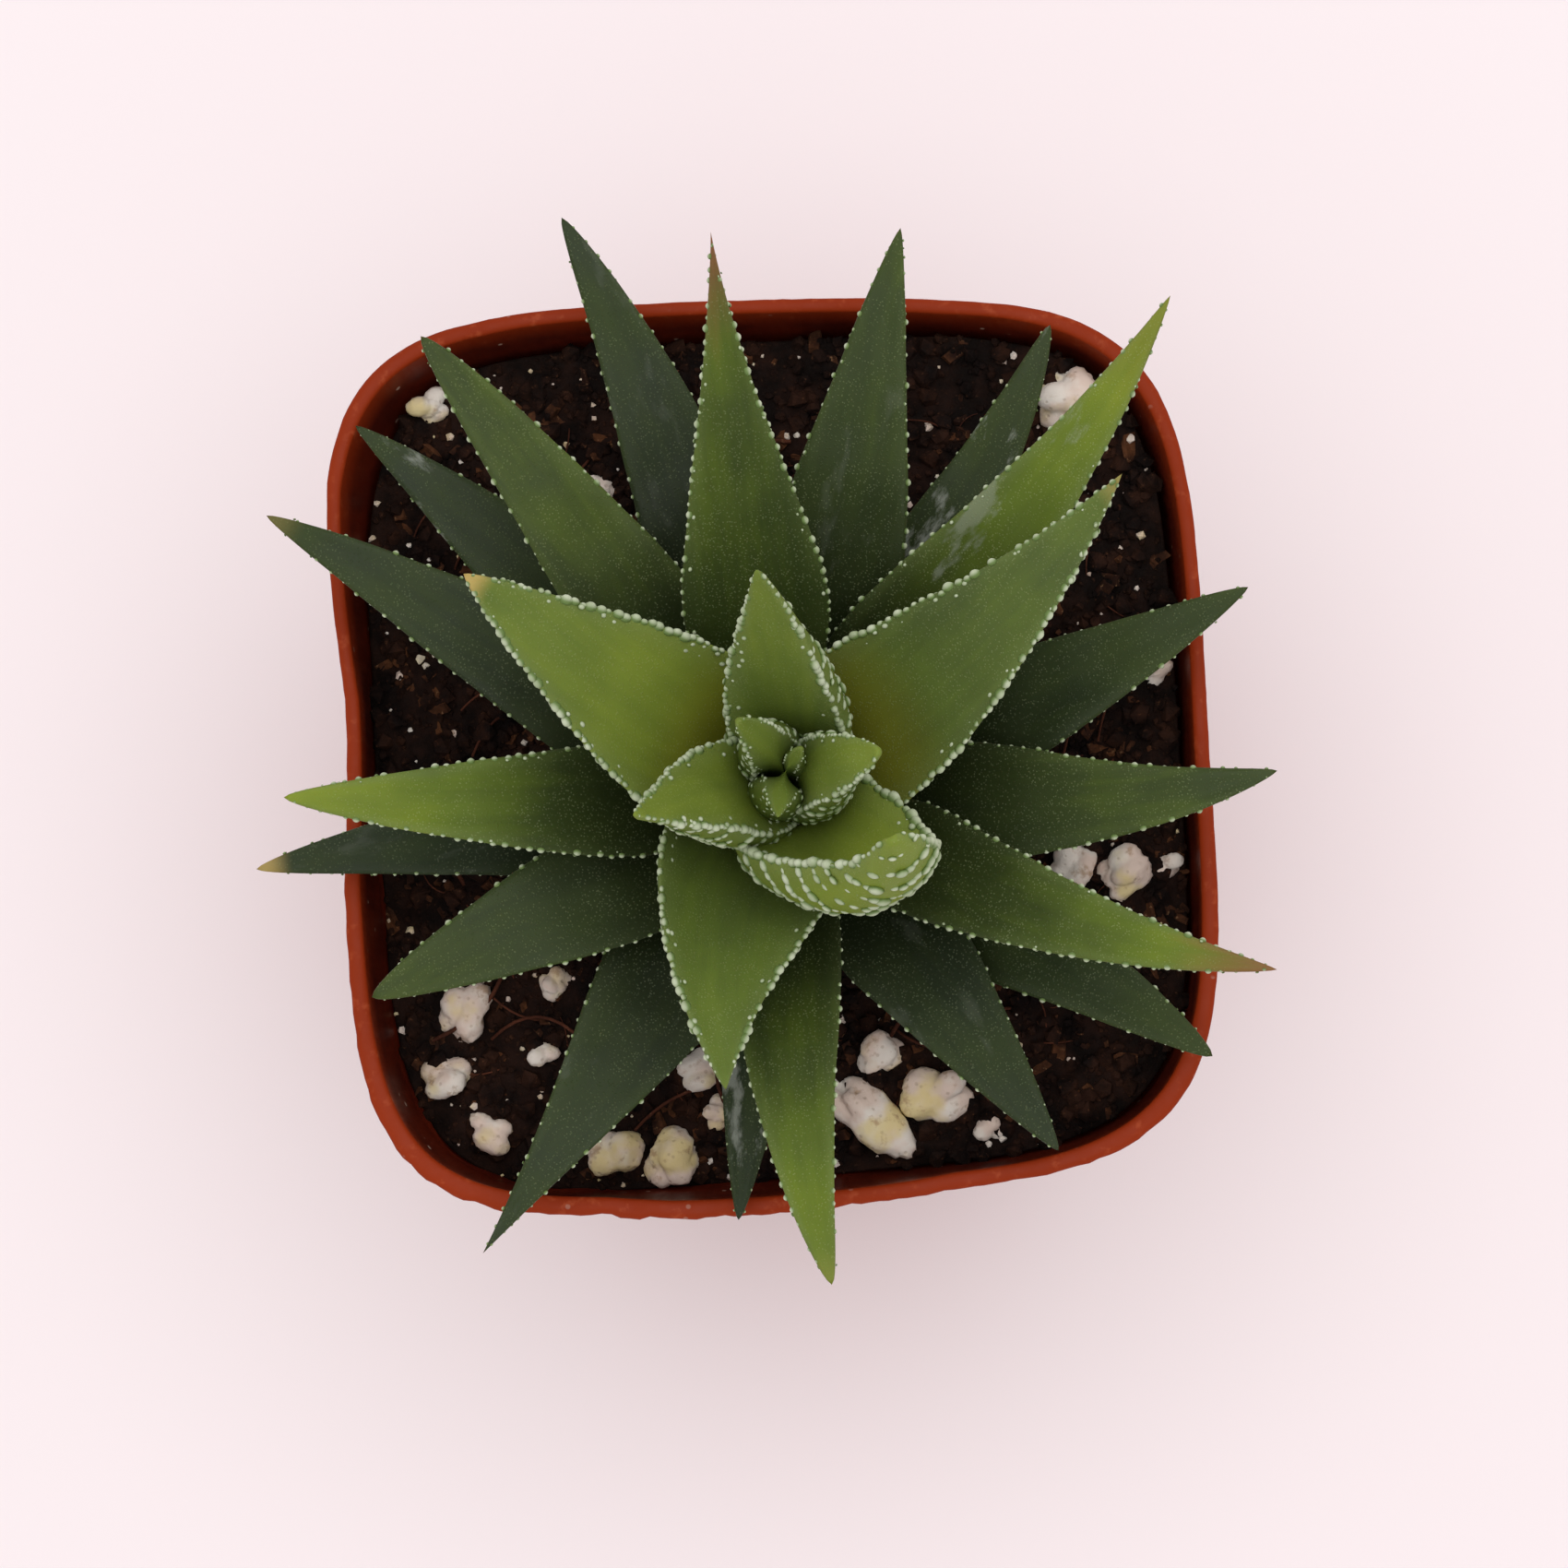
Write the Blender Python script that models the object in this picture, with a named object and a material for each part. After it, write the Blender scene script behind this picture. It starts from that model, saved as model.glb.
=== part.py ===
# A small rosette succulent in a square nursery pot, built at real size in metres, +Z up.
# The centre of the pot's underside is the origin; the sides of the pot face X and Y.
import bpy
import bmesh
import math
import random
from mathutils import Vector

mm = 0.001
seed = 7

# pot: half sizes of the rounded square, sheet thickness and heights
potHalfX = 30.5 * mm
potHalfY = 31.6 * mm
potHeight = 58.0 * mm
potSquareness = 4.75
potSheet = 0.65 * mm
potLean = 0.028
potTaper = 7.7 * mm
potFootEdge = 1.0 * mm
collarDepth = 8.8 * mm
collarStep = 0.8 * mm
collarTaper = 1.0 * mm
lipOut = 0.35 * mm
lipDeep = 0.6 * mm
drainRadius = 3.2 * mm
drainOffset = 13.0 * mm
drainSides = 24
outlineCount = 64

# one clearance between every two pieces that touch
clearance = 0.3 * mm

# soil: how far its surface lies under the lip at the middle, and how it tilts
soilUnderLip = 5.0 * mm
soilEdgeDrop = 1.0 * mm
soilTiltX = 0.05
soilTiltY = 0.06
soilBump = 0.45 * mm
soilRings = 9

# plant axis: foot position on the soil, how far it leans, and the stem
stemX = 0.2 * mm
stemY = -3.2 * mm
leanX = 0.056
leanY = -0.008
rootDepth = 9.0 * mm
stemFootRadius = 3.0 * mm
stemTopRadius = 0.35 * mm
stemSides = 24
levelStep = 2.0 * mm
levelFirst = 1.3 * mm
levelCount = 8.0
levelAngleFirst = 18.0
levelAngleStep = 8.0

# leaves
leafRings = 13
leafSide = 5
leafEdge = 0.5 * mm
leafBaseThick = 0.9 * mm
leafFullest = 1.75
leafWedge = 27.0
coreWedge = 44.0
coreLevel = 4.0
leafChannel = 0.07
leafHandle = 0.38

# level on the stem; heading at foot, middle and tip (degrees); reach; tip height over the lip;
# width at mid reach; how fast it narrows; thickness; slope of the tip (degrees)
leafTable = {
    "leaf_01": (0.35, -99, -99, -99, 29.7, 2.4, 5.6, 0.7, 2.2, 6),
    "leaf_02": (0.0, -176, -176, -175, 36.9, 4.0, 6.2, 0.7, 2.2, 4),
    "leaf_03": (0.35, 136, 135, 136, 39.4, 4.0, 7.4, 0.75, 2.2, 5),
    "leaf_04": (0.0, 60, 55, 57, 37.5, 4.0, 6.0, 0.65, 2.1, 5),
    "leaf_05": (0.0, -39, -35, -35, 34.8, 4.4, 7.2, 0.65, 2.3, 6),
    "leaf_06": (1.0, 105, 105, 108, 42.5, 8.0, 7.2, 0.7, 2.4, 8),
    "leaf_07": (1.0, 14, 17, 20, 34.7, 8.0, 7.4, 0.75, 2.4, 10),
    "leaf_08": (1.0, -125, -125, -126, 37.9, 7.5, 7.6, 1.05, 2.5, 8),
    "leaf_09": (1.1, -54, -55, -56, 31.2, 6.5, 7.6, 0.75, 2.4, 8),
    "leaf_10": (1.45, 154, 150, 149, 40.3, 9.2, 7.2, 0.75, 2.4, 8),
    "leaf_11": (2.0, 71, 74, 75, 38.5, 14.0, 8.3, 0.8, 2.5, 10),
    "leaf_12": (2.0, -6, -7, -2, 33.4, 12.0, 7.2, 0.75, 2.6, 8),
    "leaf_13": (2.1, -152, -155, -156, 31.6, 10.0, 8.0, 0.65, 2.6, 8),
    "leaf_14": (2.25, 128, 126, 126, 39.3, 14.0, 7.4, 0.65, 2.5, 10),
    "leaf_15": (3.0, 48, 45, 48, 41.0, 20.0, 6.9, 0.85, 2.8, 12),
    "leaf_16": (3.0, -178, -179, -181, 33.8, 17.0, 6.7, 0.68, 2.7, 8),
    "leaf_17": (2.7, -92, -92, -88, 34.1, 17.0, 6.6, 0.65, 2.7, 10),
    "leaf_18": (3.3, -33, -31, -25, 35.2, 18.0, 6.1, 0.8, 2.8, 6),
    "leaf_19": (3.75, 96, 96, 95, 35.8, 26.0, 8.0, 1.2, 2.9, 22),
    "leaf_20": (4.2, -121, -115, -104, 21.5, 22.0, 10.8, 0.9, 2.8, 30),
    "leaf_21": (4.85, 29, 32, 38, 29.3, 25.0, 9.0, 0.95, 2.9, 20),
    "leaf_22": (4.95, 152, 149, 146, 24.9, 26.0, 10.6, 0.8, 2.9, 24),
    "leaf_23": (5.9, 76, 86, 97, 12.3, 33.0, 8.6, 0.8, 2.3, 58),
    "leaf_24": (5.7, -70, -57, -36, 9.4, 31.0, 11.0, 0.6, 2.3, 114),
    "leaf_25": (6.25, -160, -162, -164, 10.7, 30.0, 7.6, 0.8, 2.1, 58),
    "leaf_26": (7.0, 112, 122, 136, 4.4, 27.5, 4.0, 0.55, 1.3, 72),
    "leaf_27": (6.9, -14, -4, 4, 6.0, 28.0, 6.4, 0.55, 1.6, 68),
    "leaf_28": (7.4, -128, -116, -104, 3.4, 25.5, 3.4, 0.75, 1.2, 70),
    "leaf_29": (8.0, 50, 50, 50, 1.0, 25.6, 2.4, 0.6, 1.0, 84),
}

# pale mineral grains lying in the soil: place on the soil, three sizes, heading (mm, degrees)
grainSink = 0.35
grainRoom = 2.5 * clearance
grainTable = {
    "grain_01": (-23.1, -16.6, 3.9, 3.1, 2.6, 60),
    "grain_02": (-24.8, -21.2, 3.2, 2.7, 2.2, 20),
    "grain_03": (-21.6, -25.2, 2.9, 2.3, 2.0, -20),
    "grain_04": (-16.5, -15.1, 2.2, 1.9, 1.6, 40),
    "grain_05": (-17.4, -19.9, 2.1, 1.8, 1.5, 0),
    "grain_06": (-13.1, -26.9, 3.7, 3.0, 2.6, 10),
    "grain_07": (-9.3, -27.8, 3.9, 3.3, 2.6, 80),
    "grain_08": (-5.4, -24.9, 2.2, 2.0, 1.7, 30),
    "grain_09": (-5.9, -21.6, 3.4, 2.6, 2.2, 15),
    "grain_10": (4.9, -25.6, 7.2, 3.2, 2.8, -45),
    "grain_11": (9.9, -24.4, 4.4, 3.8, 3.0, 20),
    "grain_12": (6.0, -20.9, 2.9, 2.6, 2.1, 50),
    "grain_13": (13.4, -26.9, 2.0, 1.7, 1.4, 10),
    "grain_14": (20.5, -9.1, 3.1, 2.7, 2.3, 70),
    "grain_15": (24.0, -9.6, 3.2, 2.9, 2.4, 30),
    "grain_16": (27.2, -9.2, 1.9, 1.6, 1.4, 0),
    "grain_17": (27.4, 4.6, 2.1, 1.8, 1.5, 25),
    "grain_18": (22.0, 24.0, 4.2, 3.4, 2.8, 40),
    "grain_19": (-23.2, 26.4, 2.7, 2.1, 1.8, 15),
    "grain_20": (-11.2, 20.2, 1.9, 1.6, 1.4, 0),
}


def clearScene():
    for item in list(bpy.data.objects):
        bpy.data.objects.remove(item, do_unlink=True)


def makeCollection(name):
    group = bpy.data.collections.new(name)
    bpy.context.scene.collection.children.link(group)
    return group


def makeMaterial(name, colour, roughness):
    made = bpy.data.materials.new(name)
    made.use_nodes = True
    shader = made.node_tree.nodes["Principled BSDF"]
    shader.inputs["Base Color"].default_value = (*colour, 1.0)
    shader.inputs["Roughness"].default_value = roughness
    return made


def addObject(name, bm, group, material):
    bmesh.ops.recalc_face_normals(bm, faces=bm.faces)
    mesh = bpy.data.meshes.new(name)
    bm.to_mesh(mesh)
    bm.free()
    mesh.materials.append(material)
    made = bpy.data.objects.new(name, mesh)
    group.objects.link(made)
    return made


def outline(halfX, halfY):
    """Points of the pot's rounded square, a little longer along its -X side."""
    points = []
    for step in range(outlineCount):
        turn = 2.0 * math.pi * step / outlineCount
        across, along = math.cos(turn), math.sin(turn)
        size = (abs(across / halfX) ** potSquareness + abs(along / halfY) ** potSquareness)
        reach = size ** (-1.0 / potSquareness)
        skew = 1.0 - potLean * across * reach / halfX
        points.append((across * reach, along * reach * skew))
    return points


def loft(rings):
    """Closed skin through rings of equal count, with a flat face at each end."""
    bm = bmesh.new()
    rows = [[bm.verts.new(point) for point in ring] for ring in rings]
    count = len(rings[0])
    for low, high in zip(rows, rows[1:]):
        for step in range(count):
            after = (step + 1) % count
            bm.faces.new((low[step], low[after], high[after], high[step]))
    bm.faces.new(rows[0])
    bm.faces.new(rows[-1])
    return bm


def flatRing(inset, height):
    return [(x, y, height) for x, y in outline(potHalfX - inset, potHalfY - inset)]


def wallInset(height):
    """Inset of the pot's outer face under the lip at a given height."""
    step = potHeight - collarDepth
    if height >= step:
        return lipOut + collarTaper * (potHeight - height) / collarDepth
    share = height / step
    top = lipOut + collarTaper + collarStep
    return top + potTaper * (1.0 - share)


def makePot(group, hidden, material):
    step = potHeight - collarDepth
    underStep = step - collarStep
    outside = [
        (wallInset(0.0) + potFootEdge, 0.0),
        (wallInset(potFootEdge), potFootEdge),
        (wallInset(underStep), underStep),
        (wallInset(step), step),
        (wallInset(potHeight - lipDeep * 2.0), potHeight - lipDeep * 2.0),
        (0.0, potHeight - lipDeep),
        (0.0, potHeight),
    ]
    inside = [
        (lipOut + potSheet, potHeight),
        (wallInset(step) + potSheet, step - potSheet),
        (wallInset(underStep) + potSheet, underStep - potSheet),
        (wallInset(potSheet) + potSheet, potSheet),
    ]
    pot = addObject("pot", loft([flatRing(*spot) for spot in outside + inside]), group, material)
    for signX in (-1, 1):
        for signY in (-1, 1):
            bm = bmesh.new()
            bmesh.ops.create_cone(bm, cap_ends=True, segments=drainSides, radius1=drainRadius,
                                  radius2=drainRadius, depth=potSheet * 4.0)
            place = Vector((signX * drainOffset, signY * drainOffset, potSheet * 0.5))
            bmesh.ops.translate(bm, verts=bm.verts, vec=place)
            cutter = addObject("drain_cutter", bm, hidden, material)
            cut(pot, cutter)
    return pot


def cut(body, cutter):
    cutter.hide_render = True
    cutter.display_type = "WIRE"
    carve = body.modifiers.new("cut", "BOOLEAN")
    carve.operation = "DIFFERENCE"
    carve.solver = "EXACT"
    carve.object = cutter


def soilHeight(x, y):
    """Height of the soil surface: slightly domed, tilted and uneven."""
    out = max(abs(x) / potHalfX, abs(y) / potHalfY)
    level = potHeight - soilUnderLip - soilEdgeDrop * out * out
    level += soilTiltX * x * out + soilTiltY * y * out
    wave = math.sin(x * 420.0 + 1.3) * math.cos(y * 380.0) + 0.6 * math.sin((x - y) * 730.0)
    return level + soilBump * wave


def makeSoil(group, material):
    step = potHeight - collarDepth
    underStep = step - collarStep
    thick = potSheet + clearance
    rings = [
        flatRing(wallInset(potSheet) + thick, potSheet + clearance),
        flatRing(wallInset(underStep) + thick, underStep - potSheet + clearance),
        flatRing(wallInset(step) + thick, step - potSheet + clearance),
    ]
    inset = lipOut + collarTaper + thick
    edge = outline(potHalfX - inset, potHalfY - inset)
    for ring in range(soilRings):
        share = 1.0 - ring / soilRings
        rings.append([(x * share, y * share, soilHeight(x * share, y * share)) for x, y in edge])
    return addObject("soil", loft(rings), group, material)


def axisPoint(height):
    """The leaning middle line of the plant at a height."""
    rise = height - (potHeight - soilUnderLip)
    return Vector((stemX + leanX * rise, stemY + leanY * rise, height))


def stemRadius(level):
    share = level / levelCount
    return stemFootRadius + (stemTopRadius - stemFootRadius) * share * share


def levelHeight(level):
    return potHeight - soilUnderLip + levelFirst + levelStep * level


def makeStem(group, material):
    rings = []
    spots = [(potHeight - soilUnderLip - rootDepth, stemFootRadius * 0.6)]
    spots.append((potHeight - soilUnderLip - rootDepth * 0.4, stemFootRadius))
    spots += [(levelHeight(level), stemRadius(level)) for level in range(int(levelCount) + 1)]
    for height, radius in spots:
        middle = axisPoint(height)
        ring = []
        for step in range(stemSides):
            turn = 2.0 * math.pi * step / stemSides
            ring.append((middle.x + radius * math.cos(turn), middle.y + radius * math.sin(turn), height))
        rings.append(ring)
    return addObject("stem", loft(rings), group, material)


def stemPocket():
    """The room that the buried foot of the stem takes in the soil."""
    bm = bmesh.new()
    foot = potHeight - soilUnderLip - rootDepth - clearance
    depth = rootDepth * 2.0
    radius = stemFootRadius + clearance * 1.6
    bmesh.ops.create_cone(bm, cap_ends=True, segments=stemSides, radius1=radius, radius2=radius,
                          depth=depth)
    bmesh.ops.translate(bm, verts=bm.verts, vec=axisPoint(foot + depth * 0.5))
    return bm


def smooth(share):
    share = min(1.0, max(0.0, share))
    return share * share * (3.0 - 2.0 * share)


def bezier(points, share):
    rest = 1.0 - share
    a, b, c, d = points
    along = rest ** 3 * a + 3 * rest * rest * share * b + 3 * rest * share * share * c + share ** 3 * d
    slope = 3 * rest * rest * (b - a) + 6 * rest * share * (c - b) + 3 * share * share * (d - c)
    return along, slope


def leafCurve(row):
    """Side view of a leaf's middle line, as distance from the axis and height."""
    level, reach, tipHeight, tipSlope = row[0], row[4] * mm, row[5] * mm, row[9]
    rise = math.radians(levelAngleFirst + levelAngleStep * level)
    away = stemRadius(level) + clearance * 1.2 + leafBaseThick * 0.5 * math.sin(rise)
    start = Vector((away, levelHeight(level)))
    end = Vector((reach, potHeight + tipHeight))
    fall = math.radians(tipSlope)
    handle = (end - start).length * leafHandle
    first = start + handle * Vector((math.cos(rise), math.sin(rise)))
    second = end - handle * Vector((math.cos(fall), math.sin(fall)))
    return start, first, second, end


def heading(row, share):
    """Heading of the middle line, eased through the foot, middle and tip headings."""
    foot, middle, tip = row[1], row[2], row[3]
    bend = 4.0 * middle - 3.0 * foot - tip
    return math.radians(foot + bend * share + (tip - foot - bend) * share * share)


def leafWidth(row, share, radius):
    """Width of a leaf: narrowing to its tip, and wedged between its neighbours at the foot."""
    full = row[6] * mm * min(leafFullest, (2.0 * (1.0 - share)) ** row[7])
    wedge = 2.0 * radius * math.tan(math.radians(leafWedge if row[0] < coreLevel else coreWedge))
    return (full ** -4 + wedge ** -4) ** -0.25


def leafThickness(row, share):
    full = row[8] * mm
    grown = leafBaseThick + (full - leafBaseThick) * smooth(share / 0.35)
    return grown * (1.0 - smooth((share - 0.45) / 0.6) * 0.75)


def leafPoint(curve, row, share, across, lift):
    """A point of the leaf: share along it, across its middle line, and lift off its middle skin."""
    spot, slope = bezier(curve, share)
    slope.normalize()
    radius = spot.x
    spread = slope.x * slope.x
    far = math.hypot(radius, across)
    turn = spread * math.atan2(across, radius) + (1.0 - spread) * across / max(radius, 1.2 * mm)
    out = radius + spread * (far - radius)
    height = spot.y + slope.y * slope.x * (far - radius)
    angle = heading(row, share) + turn
    out -= slope.y * lift
    height += slope.x * lift
    base = axisPoint(height)
    return Vector((base.x + out * math.cos(angle), base.y + out * math.sin(angle), height))


def makeLeaf(name, row, group, material):
    curve = leafCurve(row)
    rings = []
    for step in range(leafRings):
        share = 0.985 * step / (leafRings - 1)
        spot, _ = bezier(curve, share)
        half = leafWidth(row, share, spot.x) * 0.5
        thick = leafThickness(row, share)
        edge = min(leafEdge, thick * 0.6, half)
        ring = []
        for side in range(leafSide):
            place = 1.0 - 2.0 * side / (leafSide - 1)
            lift = leafChannel * half * place * place + edge * 0.5
            ring.append(leafPoint(curve, row, share, place * half, lift))
        for side in range(leafSide):
            place = -1.0 + 2.0 * side / (leafSide - 1)
            belly = (thick - edge) * (1.0 - place * place) ** 0.8
            lift = leafChannel * half * place * place - edge * 0.5 - belly
            ring.append(leafPoint(curve, row, share, place * half, lift))
        rings.append(ring)
    return addObject(name, loft(rings), group, material)


def grainMesh(row, grow, chooser):
    bm = bmesh.new()
    bmesh.ops.create_icosphere(bm, subdivisions=2, radius=0.5)
    for vert in bm.verts:
        vert.co *= 1.0 + 0.16 * (chooser.random() - 0.5)
    x, y, sizeX, sizeY, sizeZ, turn = row
    place = Vector((x * mm, y * mm, soilHeight(x * mm, y * mm) + (0.5 - grainSink) * sizeZ * mm))
    angle = math.radians(turn)
    for vert in bm.verts:
        flat = Vector((vert.co.x * (sizeX * mm + grow), vert.co.y * (sizeY * mm + grow)))
        across = flat.x * math.cos(angle) - flat.y * math.sin(angle)
        along = flat.x * math.sin(angle) + flat.y * math.cos(angle)
        vert.co = place + Vector((across, along, vert.co.z * (sizeZ * mm + grow)))
    return bm


def main():
    clearScene()
    group = makeCollection("potted_succulent")
    hidden = makeCollection("cutters")
    plastic = makeMaterial("pot_plastic", (0.42, 0.075, 0.03), 0.45)
    earth = makeMaterial("soil_earth", (0.02, 0.012, 0.008), 0.95)
    stemSkin = makeMaterial("stem_skin", (0.12, 0.13, 0.05), 0.7)
    leafSkin = makeMaterial("leaf_skin", (0.06, 0.12, 0.03), 0.42)
    mineral = makeMaterial("grain_mineral", (0.72, 0.66, 0.52), 0.9)
    makePot(group, hidden, plastic)
    soil = makeSoil(group, earth)
    makeStem(group, stemSkin)
    cut(soil, addObject("stem_cutter", stemPocket(), hidden, earth))
    for name, row in leafTable.items():
        makeLeaf(name, row, group, leafSkin)
    for order, (name, row) in enumerate(grainTable.items()):
        addObject(name, grainMesh(row, 0.0, random.Random(seed + order)), group, mineral)
        pocket = grainMesh(row, grainRoom, random.Random(seed + order))
        cut(soil, addObject("grain_cutter", pocket, hidden, mineral))


main()
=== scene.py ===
import bpy
import bmesh
import math
import random
from mathutils import Matrix, Vector, noise


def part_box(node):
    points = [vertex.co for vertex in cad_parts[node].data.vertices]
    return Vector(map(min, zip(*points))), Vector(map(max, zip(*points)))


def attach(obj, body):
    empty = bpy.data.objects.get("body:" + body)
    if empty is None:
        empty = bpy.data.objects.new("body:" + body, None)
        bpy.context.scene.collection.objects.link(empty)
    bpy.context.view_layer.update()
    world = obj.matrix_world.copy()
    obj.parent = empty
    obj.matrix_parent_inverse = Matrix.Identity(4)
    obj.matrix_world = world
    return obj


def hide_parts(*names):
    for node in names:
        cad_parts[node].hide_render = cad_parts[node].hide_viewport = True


# A small rosette succulent in a square nursery pot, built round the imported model, in metres.
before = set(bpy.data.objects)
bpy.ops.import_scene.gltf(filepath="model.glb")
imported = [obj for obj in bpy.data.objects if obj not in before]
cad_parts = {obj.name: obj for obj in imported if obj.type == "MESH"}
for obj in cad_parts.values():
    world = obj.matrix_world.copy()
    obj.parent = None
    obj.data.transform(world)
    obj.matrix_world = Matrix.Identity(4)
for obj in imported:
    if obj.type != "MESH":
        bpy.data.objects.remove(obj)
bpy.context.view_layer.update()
mm = 0.001
seed = 11
print("frame:", len(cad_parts), "nodes")

# camera: nearly overhead, leaning a little to the south and east, and rolled to sit the pot as it stands
cameraSetup = {
    "aim": (0.7 * mm, -2.36 * mm, 57.77 * mm),
    "leanSouth": 5.0,
    "leanEast": 2.0,
    "roll": 3.2,
    "distance": 420.0 * mm,
    "lens": 137.9,
    "sensor": 36.0,
}


def placeCamera(setup):
    east, south = math.radians(setup["leanEast"]), math.radians(setup["leanSouth"])
    away = Vector((math.tan(east), -math.tan(south), 1.0))
    away.normalize()
    up = (Vector((0, 1, 0)) - away * away.y).normalized()
    right = up.cross(away)
    roll = math.radians(setup["roll"])
    right, up = right * math.cos(roll) - up * math.sin(roll), up * math.cos(roll) + right * math.sin(roll)
    turn = Matrix((right, up, away)).transposed().to_4x4()
    data = bpy.data.cameras.new("camera")
    data.lens = setup["lens"]
    data.sensor_width = setup["sensor"]
    data.clip_start = 0.01
    camera = bpy.data.objects.new("camera", data)
    camera.matrix_world = Matrix.Translation(Vector(setup["aim"]) + away * setup["distance"]) @ turn
    bpy.context.scene.collection.objects.link(camera)
    bpy.context.scene.camera = camera


placeCamera(cameraSetup)
bpy.context.scene.view_settings.view_transform = "Standard"


# small helpers for node trees and pieces
def add(tree, kind, inputs=None, **settings):
    made = tree.nodes.new(kind)
    for key, value in settings.items():
        setattr(made, key, value)
    for key, value in (inputs or {}).items():
        if isinstance(value, bpy.types.NodeSocket):
            tree.links.new(value, made.inputs[key])
        else:
            made.inputs[key].default_value = value
    return made


def newMaterial(name, roughness, specular=0.5):
    made = bpy.data.materials.new(name)
    made.use_nodes = True
    shader = made.node_tree.nodes["Principled BSDF"]
    shader.inputs["Roughness"].default_value = roughness
    shader.inputs["Specular IOR Level"].default_value = specular
    return made, made.node_tree, shader


def attribute(tree, name, output="Fac"):
    return add(tree, "ShaderNodeAttribute", attribute_name=name).outputs[output]


def calc(tree, operation, first, second=0.0, third=0.0):
    made = add(tree, "ShaderNodeMath", {0: first, 1: second, 2: third}, operation=operation)
    return made.outputs[0]


def times(tree, first, second):
    return calc(tree, "MULTIPLY", first, second)


def stretched(tree, vector, scale):
    return add(tree, "ShaderNodeMapping", {"Vector": vector, "Scale": scale}).outputs[0]


def spread(tree, value, low, high, toLow=0.0, toHigh=1.0, smooth=True):
    kind = "SMOOTHSTEP" if smooth else "LINEAR"
    made = add(tree, "ShaderNodeMapRange", {"Value": value, "From Min": low, "From Max": high,
                                            "To Min": toLow, "To Max": toHigh}, interpolation_type=kind)
    return made.outputs["Result"]


def mix(tree, factor, first, second):
    made = add(tree, "ShaderNodeMix", data_type="RGBA")
    for index, value in ((0, factor), (6, first), (7, second)):
        if isinstance(value, bpy.types.NodeSocket):
            tree.links.new(value, made.inputs[index])
        else:
            made.inputs[index].default_value = value if index == 0 else (*value, 1.0)
    return made.outputs[2]


def noisy(tree, vector, scale, detail=3.0, roughness=0.5):
    made = add(tree, "ShaderNodeTexNoise", {"Vector": vector, "Scale": scale, "Detail": detail,
                                            "Roughness": roughness})
    return made.outputs["Fac"]


def dots(tree, vector, scale):
    return add(tree, "ShaderNodeTexVoronoi", {"Vector": vector, "Scale": scale}).outputs["Distance"]


def ramp(tree, factor, stops):
    made = add(tree, "ShaderNodeValToRGB", {0: factor})
    items = made.color_ramp.elements
    items[0].position, items[0].color = stops[0][0], (*stops[0][1], 1.0)
    items[1].position, items[1].color = stops[-1][0], (*stops[-1][1], 1.0)
    for place, colour in stops[1:-1]:
        items.new(place).color = (*colour, 1.0)
    return made.outputs["Color"]


def finishMaterial(tree, shader, colour, roughness, height, strength, distance):
    tree.links.new(colour, shader.inputs["Base Color"])
    tree.links.new(roughness, shader.inputs["Roughness"])
    bump = add(tree, "ShaderNodeBump", {"Height": height, "Strength": strength, "Distance": distance})
    tree.links.new(bump.outputs["Normal"], shader.inputs["Normal"])


def objectSpot(tree):
    return add(tree, "ShaderNodeTexCoord").outputs["Object"]


def makePiece(name, mesh, replaced=()):
    piece = bpy.data.objects.new(name, mesh)
    bpy.context.scene.collection.objects.link(piece)
    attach(piece, "root")
    if replaced:
        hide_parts(*replaced)
    return piece


def meshOf(name, points, faces, material):
    mesh = bpy.data.meshes.new(name)
    mesh.from_pydata(points, [], faces)
    mesh.materials.append(material)
    bm = bmesh.new()
    bm.from_mesh(mesh)
    bmesh.ops.recalc_face_normals(bm, faces=bm.faces)
    bm.to_mesh(mesh)
    bm.free()
    mesh.polygons.foreach_set("use_smooth", [True] * len(mesh.polygons))
    mesh.update()
    return mesh


def store(mesh, name, kind, domain, values):
    layer = mesh.attributes.new(name, kind, domain)
    key = "vector" if kind == "FLOAT_VECTOR" else "value"
    layer.data.foreach_set(key, values)


def tubeFaces(rings, count, closeStart=None, closeEnd=None):
    faces = []
    for ring in range(rings - 1):
        for step in range(count):
            after = (step + 1) % count
            faces.append((ring * count + step, ring * count + after,
                          (ring + 1) * count + after, (ring + 1) * count + step))
    last = (rings - 1) * count
    for step in range(count):
        after = (step + 1) % count
        if closeStart is not None:
            faces.append((closeStart, after, step))
        if closeEnd is not None:
            faces.append((closeEnd, last + step, last + after))
    return faces


def treeInput(tree, name, kind="Float", value=None):
    made = tree.interface.new_socket(name, in_out="INPUT", socket_type="NodeSocket" + kind)
    if value is not None:
        made.default_value = value


def newTree(name, inputs):
    tree = bpy.data.node_groups.new(name, "GeometryNodeTree")
    treeInput(tree, "Geometry", "Geometry")
    for key, value in inputs.items():
        treeInput(tree, key, "Int" if isinstance(value, int) else "Float", value)
    treeInput(tree, "material", "Material")
    tree.interface.new_socket("Geometry", in_out="OUTPUT", socket_type="NodeSocketGeometry")
    start = tree.nodes.new("NodeGroupInput")
    end = tree.nodes.new("NodeGroupOutput")
    return tree, start.outputs, end.inputs


def growTree(piece, tree, values):
    modifier = piece.modifiers.new(tree.name, "NODES")
    modifier.node_group = tree
    for item in tree.interface.items_tree:
        if item.item_type == "SOCKET" and item.in_out == "INPUT" and item.name in values:
            modifier[item.identifier] = values[item.name]
    graph = bpy.context.evaluated_depsgraph_get()
    made = bpy.data.meshes.new_from_object(piece.evaluated_get(graph), preserve_all_data_layers=True,
                                           depsgraph=graph)
    piece.modifiers.clear()
    old = piece.data
    piece.data = made
    made.name = old.name + "_made"
    bpy.data.meshes.remove(old)


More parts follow.
